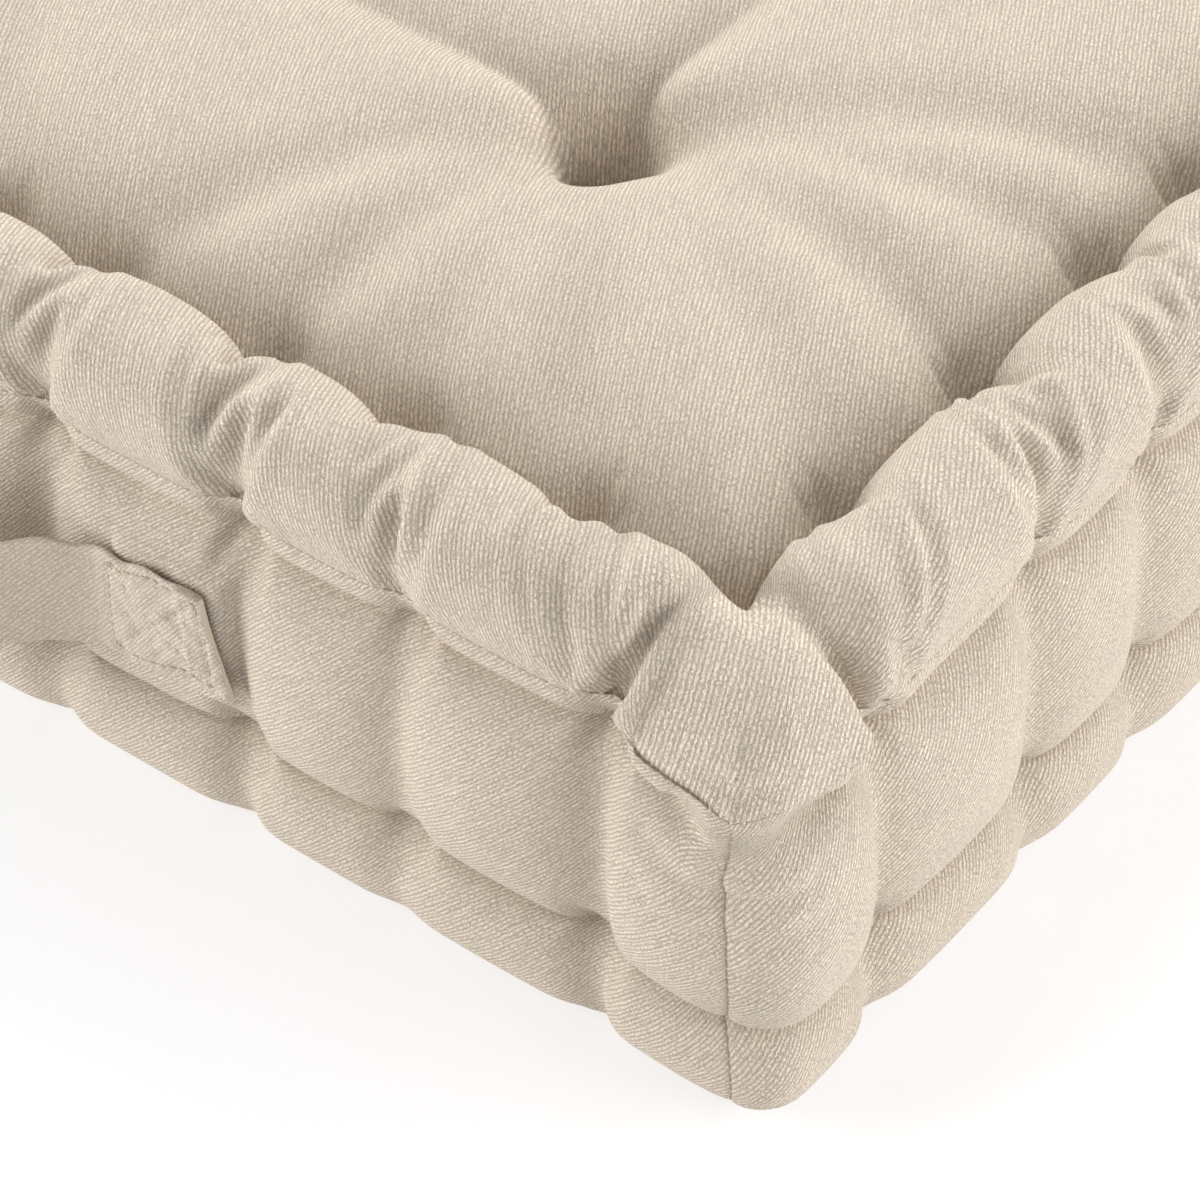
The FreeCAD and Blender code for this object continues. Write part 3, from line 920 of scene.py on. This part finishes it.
def fill_surfaces():
    """Top with walls, and underside, of the filling inside the crease, as two grids with one edge."""
    t = np.linspace(-1, 1, 111)
    u, v = np.meshgrid(t, t, indexing="xy")
    ring = np.maximum(np.maximum(np.abs(u), np.abs(v)), 1e-9)
    top_share = 0.8
    down = np.clip((ring - top_share) / (1 - top_share), 0, 1)
    half = FILL_TOP * np.minimum(ring / top_share, 1)
    half = half + (FILL_WALL - FILL_TOP) * np.sin(math.pi * 0.72 * down)
    x, y = u / ring * half, v / ring * half
    inside_x, inside_y = np.clip(x, -FILL_TOP, FILL_TOP), np.clip(y, -FILL_TOP, FILL_TOP)
    crown = least_near(crown_height(inside_x, inside_y))
    under = FILL_CROWN_GAP + (FILL_GAP - FILL_CROWN_GAP) * bell(FILL_TOP - np.minimum(half, FILL_TOP), 0.025)
    top = crown - under
    z = top + (FILL_LOW - top) * down
    lift = np.zeros_like(x)
    flat = ring * half[0, 0]
    bx, by = u / ring * flat, v / ring * flat
    for tx, ty in TUFTS:
        lift += 0.026 * bell(np.hypot(bx - tx, by - ty), 0.030)
    return np.stack([x, y, z], -1), np.stack([bx, by, FILL_LOW + lift * (1 - down)], -1)


def roll_filling(bm):
    """Adds the ring of filling inside the upper roll, square in plan with tight corners."""
    steps, sides, tightness = 240, 16, 1 / 8
    rings = []
    for i in range(steps):
        turn = 2 * math.pi * (i + 0.5) / steps
        c, s = math.cos(turn), math.sin(turn)
        x = math.copysign(abs(c) ** tightness, c)
        y = math.copysign(abs(s) ** tightness, s)
        ring = []
        for k in range(sides):
            a = 2 * math.pi * k / sides
            reach = ROLL_MIDDLE - 0.004 + math.cos(a) * 0.009
            ring.append(bm.verts.new((x * reach, y * reach, ROLL_MIDDLE_Z - 0.004 + math.sin(a) * 0.0075)))
        rings.append(ring)
    for i, ring in enumerate(rings):
        after = rings[(i + 1) % steps]
        for k in range(sides):
            n = (k + 1) % sides
            bm.faces.new((ring[k], after[k], after[n], ring[n]))


def fill_mesh(name):
    """The filling: the stuffed middle, and the ring inside the upper roll."""
    bm = bmesh.new()
    for points, turned in zip(fill_surfaces(), (False, True)):
        add_grid(bm, points, turned)
    bmesh.ops.remove_doubles(bm, verts=bm.verts, dist=0.0001)
    roll_filling(bm)
    bmesh.ops.recalc_face_normals(bm, faces=bm.faces)
    for face in bm.faces:
        face.smooth = True
    return piece_from(bm, name)


# --- threads and twines

def tube(bm, path, radius, sides=6):
    """Adds a round tube along a path of points to bm."""
    path = [Vector(p) for p in path]
    rings = []
    side = None
    for i, p in enumerate(path):
        ahead = path[min(i + 1, len(path) - 1)] - path[max(i - 1, 0)]
        ahead = ahead.normalized() if ahead.length > 0 else Vector((0, 0, 1))
        if side is None:
            side = ahead.orthogonal().normalized()
        side = (side - ahead * side.dot(ahead)).normalized()
        other = ahead.cross(side)
        ring = []
        for k in range(sides):
            a = 2 * math.pi * k / sides
            ring.append(bm.verts.new(p + (side * math.cos(a) + other * math.sin(a)) * radius))
        rings.append(ring)
    for a, b in zip(rings, rings[1:]):
        for k in range(sides):
            face = bm.faces.new((a[k], a[(k + 1) % sides], b[(k + 1) % sides], b[k]))
            face.smooth = True
    bm.faces.new(rings[0][::-1])
    bm.faces.new(rings[-1])


def add_grid(bm, points, turned):
    """Adds the quads of a grid of points to bm."""
    rows, cols = points.shape[:2]
    verts = [[bm.verts.new(points[r, c]) for c in range(cols)] for r in range(rows)]
    for r in range(rows - 1):
        for c in range(cols - 1):
            face = [verts[r][c], verts[r][c + 1], verts[r + 1][c + 1], verts[r + 1][c]]
            bm.faces.new(face[::-1] if turned else face)


def piece_from(bm, name):
    mesh = bpy.data.meshes.new(name)
    bm.normal_update()
    bm.to_mesh(mesh)
    bm.free()
    return linked(name, mesh)


def walk(line, outward, start, stop, samples):
    """Points and outward directions at even steps along a polyline between two lengths of it."""
    step = np.linalg.norm(np.diff(line, axis=0), axis=-1)
    run = np.concatenate([[0], np.cumsum(step)])
    at = np.linspace(start, stop, samples)
    points = np.stack([np.interp(at, run, line[:, k]) for k in range(3)], -1)
    out = np.stack([np.interp(at, run, outward[:, k]) for k in range(3)], -1)
    return points, out / np.maximum(np.linalg.norm(out, axis=-1, keepdims=True), 1e-9)


def stitch_line(bm, line, outward, length, gap, radius, lift):
    """Adds short sunken stitches along a polyline: each rises out of the cloth and dives back in."""
    total = np.linalg.norm(np.diff(line, axis=0), axis=-1).sum()
    count = max(1, int(total / (length + gap)))
    pitch = total / count
    for i in range(count):
        start = i * pitch + gap / 2
        points, out = walk(line, outward, start, start + pitch - gap, 5)
        rise = np.array([-1.1, 0.5, 1.0, 0.5, -1.1])[:, None] * lift
        tube(bm, points + out * rise, radius, sides=5)


def seam_piece(name, line, outward, radius, lift):
    """A seam's stitches along a polyline, as a piece of their own."""
    bm = bmesh.new()
    stitch_line(bm, line, outward, STITCH, STITCH_GAP, radius, lift)
    return piece_from(bm, name)


def twine_paths(path, radius, turns_per_metre):
    """Paths of two strands that twist round each other along a path."""
    path = [Vector(p) for p in path]
    strands = ([], [])
    side = None
    run = 0.0
    for i, p in enumerate(path):
        ahead = (path[min(i + 1, len(path) - 1)] - path[max(i - 1, 0)]).normalized()
        if side is None:
            side = ahead.orthogonal().normalized()
        side = (side - ahead * side.dot(ahead)).normalized()
        other = ahead.cross(side)
        if i:
            run += (p - path[i - 1]).length
        for k, strand in enumerate(strands):
            a = 2 * math.pi * turns_per_metre * run + math.pi * k
            strand.append(p + (side * math.cos(a) + other * math.sin(a)) * radius)
    return strands


def twisted(bm, path, radius):
    """Adds a two-strand twine of this outer radius along a path."""
    for strand in twine_paths(path, radius * 0.48, 1 / (radius * 9)):
        tube(bm, strand, radius * 0.55, sides=6)


def between(a, b, count):
    a, b = Vector(a), Vector(b)
    return [a.lerp(b, i / (count - 1)) for i in range(count)]


def knot_path(centre, radius, turns=2.3, count=40):
    """A flat overhand knot's coil round the twine."""
    path = []
    for i in range(count):
        t = i / (count - 1)
        a = 2 * math.pi * turns * t
        wobble = 1 + 0.18 * math.sin(3 * a)
        reach = radius * wobble
        coil = Vector((reach * math.cos(a), reach * math.sin(a), 0.0011 * math.sin(2.2 * a + 0.6)))
        path.append(Vector(centre) + coil)
    return path


def tuft_piece(name, x, y, low, high):
    bm = bmesh.new()
    twisted(bm, between((x, y, low), (x, y, high), 90), TWINE)
    for z in (low + 0.0012, high - 0.0012):
        twisted(bm, knot_path((x, y, z), 0.0021), TWINE * 0.9)
    for lean in (0.9, -1.4):
        tip = (x + 0.006 * math.cos(lean), y + 0.006 * math.sin(lean), high + 0.0012)
        twisted(bm, between((x, y, high - 0.0006), tip, 12), TWINE * 0.8)
    return piece_from(bm, name)


def roll_stitch_piece(name, stitches):
    """Hand stitches: each twine goes through an edge roll, with a short stitch at both ends."""
    bm = bmesh.new()
    for outer, outer_out, inner, inner_out, along in stitches:
        half = along * HALF_HAND_STITCH
        path = [outer + half * place + outer_out * rise for place, rise in HAND_STITCH]
        path += [inner + half * place + inner_out * rise for place, rise in HAND_STITCH[::-1]]
        tube(bm, path, ROLL_TWINE)
    return piece_from(bm, name)


# --- handle

def edge_round(distance):
    """Share of the strap's full thickness at a distance from its edge."""
    past = max(0.0, 1 - distance / STRAP_EDGE)
    return 0.35 + 0.65 * math.sqrt(max(0.0, 1 - past ** 2))


def strap_half(name, sign, surface):
    """One half of the handle, from its middle to its sewn end, as a closed folded strap."""
    length_cells, width_cells = STRAP_CELLS
    low, high = HANDLE_LOW.z + 0.0004, HANDLE_HIGH.z - 0.0004
    end = HANDLE_HIGH.x - 0.0006
    bm = bmesh.new()
    layer = bm.loops.layers.uv.new("Cloth")
    across = np.linspace(0, 1, width_cells + 1)
    section = [(w, -1) for w in across] + [(w, 1) for w in across[::-1]]
    ring_list, uv_list = [], []
    for i in range(length_cells + 1):
        t = i / length_cells
        ring, ring_uv = [], []
        girth = 0.0
        before = None
        for w, side in section:
            lean = (w - 0.5) * -0.008 * smooth(np.array((t - 0.55) / 0.45))
            x = t * (end + float(lean))
            z = low + (high - low) * w
            edge = min(w, 1 - w) * (high - low)
            reach = (1 - t) * end
            hem = strap_dent(x, z, edge) if side < 0 else 0.0
            thick = STRAP_LAYER * edge_round(edge) * edge_round(reach) - hem
            rise = strap_rise(x, z, reach) if side < 0 else 0.0
            y = float(surface(x * sign, z)) + side * thick - rise
            z += strap_shift(x, w)
            p = Vector((x * sign, y, float(z)))
            if before is not None:
                girth += (p - before).length
            before = p
            ring.append(bm.verts.new(p))
            ring_uv.append((x, girth))
        ring_list.append(ring)
        uv_list.append(ring_uv)
    count = len(section)
    for i in range(length_cells):
        for k in range(count):
            n = (k + 1) % count
            wrap = uv_list[i][-1][1] + 0.0006 if n == 0 else uv_list[i][n][1]
            corners = (
                (ring_list[i][k], uv_list[i][k]),
                (ring_list[i][n], (uv_list[i][n][0], wrap)),
                (ring_list[i + 1][n], (uv_list[i + 1][n][0], wrap)),
                (ring_list[i + 1][k], uv_list[i + 1][k]),
            )
            corners = corners if sign > 0 else corners[::-1]
            face = bm.faces.new([c[0] for c in corners])
            face.smooth = True
            for loop, (_, uv) in zip(face.loops, corners):
                loop[layer].uv = uv
    for ring, turned in ((ring_list[0], False), (ring_list[-1], True)):
        half = len(ring) // 2
        for k in range(half - 1):
            quad = [ring[k], ring[k + 1], ring[count - 2 - k], ring[count - 1 - k]]
            bm.faces.new(quad[::-1] if turned == (sign > 0) else quad)
    return piece_from(bm, name)


def strap_box():
    """Corners of the box of stitches in a sewn end."""
    inset = 0.0034
    x0, x1 = SEWN_FROM + 0.001, HANDLE_HIGH.x - inset - 0.001
    z0, z1 = HANDLE_LOW.z + inset, HANDLE_HIGH.z - inset
    return [(x0, z0), (x1 + 0.002, z0), (x1 - 0.001, z1), (x0, z1)]


def strap_lines():
    corners = strap_box()
    lines = [(corners[i], corners[(i + 1) % 4]) for i in range(4)]
    return lines + [(corners[0], corners[2]), (corners[1], corners[3])]


def strap_dent(x, z, edge):
    """How far the stitches pull the strap's face in, with a soft line along its folded edges."""
    gap = min(float(segment_distance(x, z, a, b)) for a, b in strap_lines())
    sewn = 0.00075 * math.exp(-(gap / 0.0013) ** 2)
    folded = 0.0002 * math.exp(-((edge - 0.0030) / 0.0012) ** 2)
    return sewn + folded


def strap_rise(x, z, reach):
    """Extra thickness where the end is turned under, and low puckers between the stitches."""
    turned = 0.0007 * float(smooth(np.array((0.0105 - reach) / 0.0015)))
    sewn = float(smooth(np.array((x - SEWN_FROM) / 0.006)))
    pucker = math.sin(x * 520 + 2.1 * math.sin(z * 260)) * math.sin(z * 330 + 1.7 * math.sin(x * 310 + 0.5))
    return turned + sewn * 0.00045 * pucker + 0.0006 * sewn * math.sin((x + z) * 240)


def strap_shift(x, w):
    """Slight waver of the strap's long edges, and how its sewn ends lie higher and narrower."""
    upper = max(0.0, w - 0.5) * 2
    lower = max(0.0, 0.5 - w) * 2
    high = 0.0009 * math.sin(x * 150 + 0.8) + 0.0006 * math.sin(x * 390)
    low = 0.0005 * math.sin(x * 120 + 2.0)
    sewn = float(smooth(np.array((x - 0.060) / 0.040)))
    return high * upper + low * lower + 0.0014 * lower + sewn * (0.0026 + 0.0026 * (1 - w))


def strap_stitches(name, sign, surface):
    """Box of stitches with crossed diagonals, through the strap's sewn end."""
    bm = bmesh.new()
    for a, b in strap_lines():
        xs = np.linspace(a[0], b[0], 40)
        zs = np.linspace(a[1], b[1], 40)
        rises = [strap_rise(x, z, HANDLE_HIGH.x - x) for x, z in zip(xs, zs)]
        ys = np.array([float(surface(x * sign, z)) - rise for x, z, rise in zip(xs, zs, rises)])
        ys = ys - STRAP_LAYER + 0.0008
        wide = HANDLE_HIGH.z - HANDLE_LOW.z
        lifted = [z + strap_shift(x, (z - HANDLE_LOW.z) / wide) for x, z in zip(xs, zs)]
        line = np.stack([xs * sign, ys, lifted], -1)
        outward = np.tile(np.array([0.0, -1.0, 0.0]), (40, 1))
        stitch_line(bm, line, outward, 0.0024, 0.0009, THREAD * 0.8, THREAD * 0.6)
    return piece_from(bm, name)


def strap_surface(front):
    """Depth of the strap's middle as a function of place and height, from the cloth under its ends."""
    patch = {}
    for sign in (-1, 1):
        x, y, z = front[..., 0] * sign, front[..., 1], front[..., 2]
        near = (x > SEWN_FROM - 0.004) & (x < HANDLE_HIGH.x + 0.002)
        near &= (z > HANDLE_LOW.z - 0.002) & (z < HANDLE_HIGH.z + 0.002)
        x, y, z = x[near], y[near], z[near]
        a = np.stack([np.ones(len(x)), x, z, x ** 2, z ** 2, x * z], -1)
        fit = np.linalg.lstsq(a, y, rcond=None)[0]
        gap = (a @ fit - y).max()
        patch[sign] = (fit, gap)

    def surface(x, z):
        sign = 1 if x >= 0 else -1
        fit, gap = patch[sign]
        along = max(abs(x), SEWN_FROM - 0.004)
        along = min(along, HANDLE_HIGH.x)
        on_cloth = float(fit @ np.array([1, along, z, along ** 2, z ** 2, along * z]))
        on_cloth = on_cloth - gap - STRAP_LAYER - 0.0001
        free = min(max((SEWN_FROM - abs(x)) / SEWN_FROM, 0.0), 1.0)
        bow = float(smooth(np.array(min(free * 1.30, 1.0))))
        return on_cloth * (1 - bow) + HANDLE_GRIP_Y * bow
    return surface


# --- materials

def new_material(name):
    material = bpy.data.materials.new(name)
    material.use_nodes = True
    tree = material.node_tree
    shader = tree.nodes["Principled BSDF"]
    return material, tree, shader


def math_node(tree, operation, a, b=None):
    node = tree.nodes.new("ShaderNodeMath")
    node.operation = operation
    for slot, value in enumerate((a, b)):
        if value is None:
            continue
        if isinstance(value, (int, float)):
            node.inputs[slot].default_value = value
        else:
            tree.links.new(value, node.inputs[slot])
    return node.outputs[0]


def mul(tree, a, b):
    return math_node(tree, "MULTIPLY", a, b)


def add(tree, a, b):
    return math_node(tree, "ADD", a, b)


def noise_node(tree, vector, scale, detail=2.0, roughness=0.5):
    node = tree.nodes.new("ShaderNodeTexNoise")
    tree.links.new(vector, node.inputs["Vector"])
    node.inputs["Scale"].default_value = scale
    node.inputs["Detail"].default_value = detail
    node.inputs["Roughness"].default_value = roughness
    return node.outputs["Fac"]


def combine(tree, x, y, z=0.0):
    node = tree.nodes.new("ShaderNodeCombineXYZ")
    for slot, value in enumerate((x, y, z)):
        if isinstance(value, (int, float)):
            node.inputs[slot].default_value = value
        else:
            tree.links.new(value, node.inputs[slot])
    return node.outputs[0]


def ranged(tree, value, low, high, to_low=0.0, to_high=1.0):
    node = tree.nodes.new("ShaderNodeMapRange")
    tree.links.new(value, node.inputs["Value"])
    for key, number in (("From Min", low), ("From Max", high), ("To Min", to_low), ("To Max", to_high)):
        node.inputs[key].default_value = number
    return node.outputs["Result"]


def mixed(tree, factor, a, b, blend_type="MIX"):
    node = tree.nodes.new("ShaderNodeMix")
    node.data_type = "RGBA"
    node.blend_type = blend_type
    for key, value in (("Factor", factor), ("A", a), ("B", b)):
        sockets = [s for s in node.inputs if s.name == key and (s.type == "RGBA" or key == "Factor")]
        socket = sockets[0]
        if isinstance(value, (int, float)):
            socket.default_value = value
        elif isinstance(value, tuple):
            socket.default_value = value + (1.0,)
        else:
            tree.links.new(value, socket)
    return [o for o in node.outputs if o.type == "RGBA"][0]


def shaded(tree, colour, pattern, dark, light):
    """The colour, made darker and lighter by a pattern."""
    shade = ranged(tree, pattern, 0.3, 0.7, dark, light)
    return mixed(tree, 1.0, colour, combine(tree, shade, shade, shade), "MULTIPLY")


def bumped(tree, shader, height, strength, distance):
    bump = tree.nodes.new("ShaderNodeBump")
    bump.inputs["Strength"].default_value = strength
    bump.inputs["Distance"].default_value = distance
    tree.links.new(height, bump.inputs["Height"])
    tree.links.new(bump.outputs[0], shader.inputs["Normal"])


def stretched(tree, along, across, along_scale, across_scale, detail):
    """Noise stretched along the ribs."""
    place = combine(tree, mul(tree, along, along_scale), mul(tree, across, across_scale))
    return noise_node(tree, place, 1.0, detail)


def twill(name, rib_degrees, base=BASE, pitch=TWILL_PITCH, contrast=1.0):
    """Cotton twill: slanting ribs of short slubby floats, from the cloth's own coordinates in metres."""
    material, tree, shader = new_material(name)
    uv = tree.nodes.new("ShaderNodeUVMap")
    uv.uv_map = "Cloth"
    split = tree.nodes.new("ShaderNodeSeparateXYZ")
    tree.links.new(uv.outputs[0], split.inputs[0])
    u, v = split.outputs[0], split.outputs[1]
    c, s = math.cos(math.radians(rib_degrees)), math.sin(math.radians(rib_degrees))
    along = add(tree, mul(tree, u, c), mul(tree, v, s))
    across = math_node(tree, "SUBTRACT", mul(tree, v, c), mul(tree, u, s))

    wander = math_node(tree, "SUBTRACT", stretched(tree, along, across, 130.0, 420.0, 2.0), 0.5)
    shifted = add(tree, across, mul(tree, wander, 0.00110))
    waves = math_node(tree, "COSINE", mul(tree, shifted, 2 * math.pi / pitch))
    rib = math_node(tree, "POWER", add(tree, mul(tree, waves, 0.5), 0.5), 0.7)
    floats = stretched(tree, along, across, 1000.0, 1500.0, 1.0)
    slubs = stretched(tree, along, across, 90.0, 700.0, 1.0)
    yarn = mul(tree, math_node(tree, "SINE", mul(tree, u, 2 * math.pi / 0.00056)), 0.10)
    fuzz = math_node(tree, "SUBTRACT", noise_node(tree, uv.outputs[0], 2300.0, 2.0, 0.75), 0.5)
    height = mul(tree, rib, ranged(tree, floats, 0.32, 0.68, 0.10, 1.15))
    height = add(tree, height, mul(tree, slubs, 0.35))
    height = add(tree, height, mul(tree, yarn, rib))
    height = add(tree, height, mul(tree, fuzz, 2.0))

    # Painted shade and highlight: the colour follows the rib height, darker in the grooves between ribs and
    # lighter on their crests, over the yarn's own uneven slubs and floats.
    dark = tuple(x * (1 - 0.46 * contrast) for x in base)
    light = tuple(min(1.0, x * (1 + 0.27 * contrast)) for x in base)
    colour = mixed(tree, ranged(tree, height, 0.05, 1.15), dark, light)
    colour = shaded(tree, colour, noise_node(tree, uv.outputs[0], 45.0, 4.0, 0.6), 0.965, 1.03)
    tree.links.new(colour, shader.inputs["Base Color"])
    tree.links.new(ranged(tree, height, 0.0, 1.2, 0.98, 0.80), shader.inputs["Roughness"])
    shader.inputs["Specular IOR Level"].default_value = 0.18
    shader.inputs["Sheen Weight"].default_value = 0.06
    shader.inputs["Sheen Roughness"].default_value = 0.45
    bumped(tree, shader, height, 0.75, 0.00045)
    return material


def spun(name, base, twist, roughness=0.75):
    """Spun thread or twine: fine twist and slight unevenness of colour."""
    material, tree, shader = new_material(name)
    place = tree.nodes.new("ShaderNodeTexCoord").outputs["Object"]
    fine = noise_node(tree, place, twist, 3.0)
    dark = tuple(x * 0.72 for x in base)
    light = tuple(x * 1.1 for x in base)
    colour = mixed(tree, ranged(tree, fine, 0.3, 0.7), dark, light)
    colour = shaded(tree, colour, noise_node(tree, place, twist / 12, 2.0), 0.9, 1.06)
    tree.links.new(colour, shader.inputs["Base Color"])
    shader.inputs["Roughness"].default_value = roughness
    shader.inputs["Specular IOR Level"].default_value = 0.25
    bumped(tree, shader, fine, 0.6, 0.0002)
    return material


def wadding(name):
    """Fibre filling: pale and matted."""
    material, tree, shader = new_material(name)
    place = tree.nodes.new("ShaderNodeTexCoord").outputs["Object"]
    tufts = noise_node(tree, place, 60.0, 6.0, 0.7)
    strands = noise_node(tree, place, 900.0, 4.0, 0.7)
    colour = mixed(tree, ranged(tree, tufts, 0.3, 0.7), (0.72, 0.69, 0.62), (0.86, 0.84, 0.79))
    tree.links.new(colour, shader.inputs["Base Color"])
    shader.inputs["Roughness"].default_value = 0.95
    bumped(tree, shader, add(tree, tufts, mul(tree, strands, 0.3)), 0.8, 0.002)
    return material


def dress(thing, material, body="root"):
    """Gives a piece its material, and lets it ride on a body."""
    thing.data.materials.clear()
    thing.data.materials.append(material)
    if body:
        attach(thing, body)


# --- the cushion

def side_span(k, cells):
    """The boxing's columns along one side."""
    return slice(k * cells, (k + 1) * cells + 1)


def build_cushion():
    top, boxing = settle()
    cells = top["cells"]
    top_points = top["points"].astype(np.float64)
    band = boxing["points"].astype(np.float64)
    soften_lobes(top, top_points)
    soften_corners(band, cells)
    pleats(top, top_points)
    corner_folds(top, top_points, band)
    sink_seam(top_points, band, cells)
    bottom_points = make_bottom(band[-1])

    build_cover(cloth_uv(top["info"], top_points), top_points, band, bottom_points)
    build_seams(band, cells)
    twine = spun("tufting_twine", (0.62, 0.52, 0.40), 2500)
    build_tufts(top_points, bottom_points, twine)
    build_roll_stitches(top_points, band, twine)
    build_handle(band[:, side_span(0, cells)])


def build_cover(top_uv, top_points, band, bottom_points):
    """The cover's panels, and the filling inside them."""
    top_piece = grid_mesh("top_cover", top_points, top_uv)
    dress(top_piece, twill("top_twill", 117))
    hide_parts("top_panel")

    cells = top_points.shape[0] - 1
    front_twill = twill("boxing_twill", 45, pitch=FRONT_PITCH)
    side_twill = twill("boxing_twill_cross", 48, pitch=SIDE_PITCH)
    uv = band_uv(band)
    for k, side in enumerate(SIDES):
        span = side_span(k, cells)
        strip = grid_mesh(f"boxing_{side}_cover", band[:, span], uv[:, span], flip=True)
        dress(strip, front_twill if side in ("front", "back") else side_twill)
        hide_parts(f"boxing_{side}")

    bottom_piece = grid_mesh("bottom_cover", bottom_points, bottom_points[..., :2], flip=True)
    dress(bottom_piece, twill("bottom_twill", 63))
    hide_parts("bottom_panel")

    fill = fill_mesh("fibre_core")
    dress(fill, wadding("fibre_fill"))
    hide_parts("fibre_fill")


def build_seams(band, cells):
    """Stitches of the top seam, the bottom seam and the four upright corner seams."""
    thread = spun("seam_thread", (0.44, 0.36, 0.27), 3000)
    out = normals(band, True)
    seams = [
        ("top_seam_stitches", "top_seam_thread", band[0], out[0] + np.array([0, 0, 0.4]), 1.0, 0.5),
        ("bottom_seam_stitches", "bottom_seam_thread", band[-1], out[-1], 1.0, 0.0),
    ]
    for k, corner in enumerate(("front_left", "front_right", "back_right", "back_left")):
        diagonal = out[2:-1, k * cells] + out[2:-1, (k * cells - 1) % (4 * cells)]
        line = band[2:-1, k * cells]
        seams.append((f"corner_stitches_{corner}", f"corner_seam_{corner}", line, diagonal, 0.9, 0.3))
    for name, node, line, outward, thickness, lift in seams:
        piece = seam_piece(name, line, outward, THREAD * thickness, THREAD * lift)
        dress(piece, thread)
        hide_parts(node)


def build_tufts(top_points, bottom_points, twine):
    for k, (x, y) in enumerate(TUFTS):
        place = f"r{k // 2 + 1}c{k % 2 + 1}"
        near = np.hypot(top_points[..., 0] - x, top_points[..., 1] - y)
        high = top_points[..., 2][near < 0.004].min() + 0.0016
        near = np.hypot(bottom_points[..., 0] - x, bottom_points[..., 1] - y)
        low = bottom_points[..., 2][near < 0.006].max() - 0.0016
        piece = tuft_piece(f"tufting_{place}", x, y, low, high)
        dress(piece, twine)
        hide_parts(f"tuft_twine_{place}")


def build_roll_stitches(top_points, band, twine):
    cells = top_points.shape[0] - 1
    fine = cells // SIDE_CELLS
    out = normals(band, True)
    crown_out = normals(top_points, False)
    upper, lower = [], []
    for k, side in enumerate(SIDES):
        span = side_span(k, cells)
        along = np.array(ALONG[side] + (0.0,))

        def pinched(row, pinch):
            """Point and outward direction where a pinch stitch leaves the boxing."""
            line = band[row * fine, span]
            col = int(np.argmin(np.abs(line @ along - pinch)))
            return line[col], out[row * fine, span][col]

        for (crease, _), (pinch, _) in zip(CREASES[side], PINCHES[side]):
            x, y = plan_point(side, crease, CREASE)
            gap = np.hypot(top_points[..., 0] - x, top_points[..., 1] - y)
            at = np.unravel_index(np.argmin(gap), gap.shape)
            upper.append(pinched(UPPER_PINCH_ROW, pinch) + (top_points[at], crown_out[at], along))
            inner = np.array(plan_point(side, crease, UNDER_STITCH) + (0.0012,))
            lower.append(pinched(LOWER_PINCH_ROW, pinch) + (inner, np.array([0.0, 0.0, -1.0]), along))
    for roll, stitches in (("upper_roll", upper), ("lower_roll", lower)):
        piece = roll_stitch_piece(f"{roll}_stitches", stitches)
        dress(piece, twine)
        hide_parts(f"{roll}_twine")


def build_handle(front):
    # The strap's cloth: the cover's colour made 5 % darker, with weaker painted shade and highlight on its
    # ribs.
    strap_base = tuple(x * 0.95 for x in BASE)
    cloth = twill("handle_twill", 48, base=strap_base, pitch=STRAP_PITCH, contrast=0.7)
    pale_thread = spun("handle_thread", (0.60, 0.51, 0.40), 3000)
    surface = strap_surface(front)
    for sign, side in ((-1, "left"), (1, "right")):
        strap = strap_half(f"handle_strap_{side}", sign, surface)
        dress(strap, cloth, body=None)
        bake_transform(strap)
        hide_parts(f"handle_end_{side}", "handle_grip")
        stitches = strap_stitches(f"handle_box_stitches_{side}", sign, surface)
        dress(stitches, pale_thread)
        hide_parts(f"handle_stitching_{side}")


# --- floor, light and camera

def build_floor():
    bm = bmesh.new()
    size, cells = 6.0, 24
    bmesh.ops.create_grid(bm, x_segments=cells, y_segments=cells, size=size)
    floor = piece_from(bm, "studio_floor")
    floor.location.z = -0.0002
    material, tree, shader = new_material("pale_floor")
    place = tree.nodes.new("ShaderNodeTexCoord").outputs["Object"]
    speck = noise_node(tree, place, 240.0, 4.0)
    tree.links.new(mixed(tree, speck, (0.49, 0.49, 0.50), (0.51, 0.51, 0.52)), shader.inputs["Base Color"])
    shader.inputs["Roughness"].default_value = 0.9
    shader.inputs["Specular IOR Level"].default_value = 0.1
    shader.inputs["Emission Color"].default_value = (1, 1, 1, 1)
    shader.inputs["Emission Strength"].default_value = FLOOR_GLOW
    floor.data.materials.append(material)


def area_light(name, place, target, size, power):
    data = bpy.data.lights.new(name, "AREA")
    data.shape = "RECTANGLE"
    data.size, data.size_y = size
    data.energy = power
    thing = linked(name, data)
    thing.location = place
    aim = Vector(target) - Vector(place)
    thing.rotation_mode = "QUATERNION"
    thing.rotation_quaternion = aim.to_track_quat("-Z", "Y")


def build_light():
    world = bpy.data.worlds.new("studio")
    world.use_nodes = True
    world.node_tree.nodes["Background"].inputs[0].default_value = (1.0, 1.0, 1.0, 1)
    world.node_tree.nodes["Background"].inputs[1].default_value = WORLD_GLOW
    bpy.context.scene.world = world
    for softbox in SOFTBOXES:
        area_light(*softbox)


def build_camera():
    data = bpy.data.cameras.new("camera")
    data.lens = LENS
    data.sensor_width = 36.0
    data.clip_start, data.clip_end = 0.02, 40.0
    camera = linked("camera", data)
    a, e = CAMERA_AZIMUTH, CAMERA_ELEVATION
    back = Vector((math.sin(a) * math.cos(e), -math.cos(a) * math.cos(e), math.sin(e)))
    right = Vector((math.cos(a), math.sin(a), 0.0))
    up = back.cross(right)
    turn = Matrix((right, up, back)).transposed()
    camera.matrix_world = Matrix.Translation(CAMERA_PLACE) @ turn.to_4x4()
    bpy.context.scene.camera = camera


bpy.context.scene.view_settings.view_transform = "Standard"
bpy.context.scene.view_settings.look = "None"
build_camera()
build_light()
build_floor()
build_cushion()
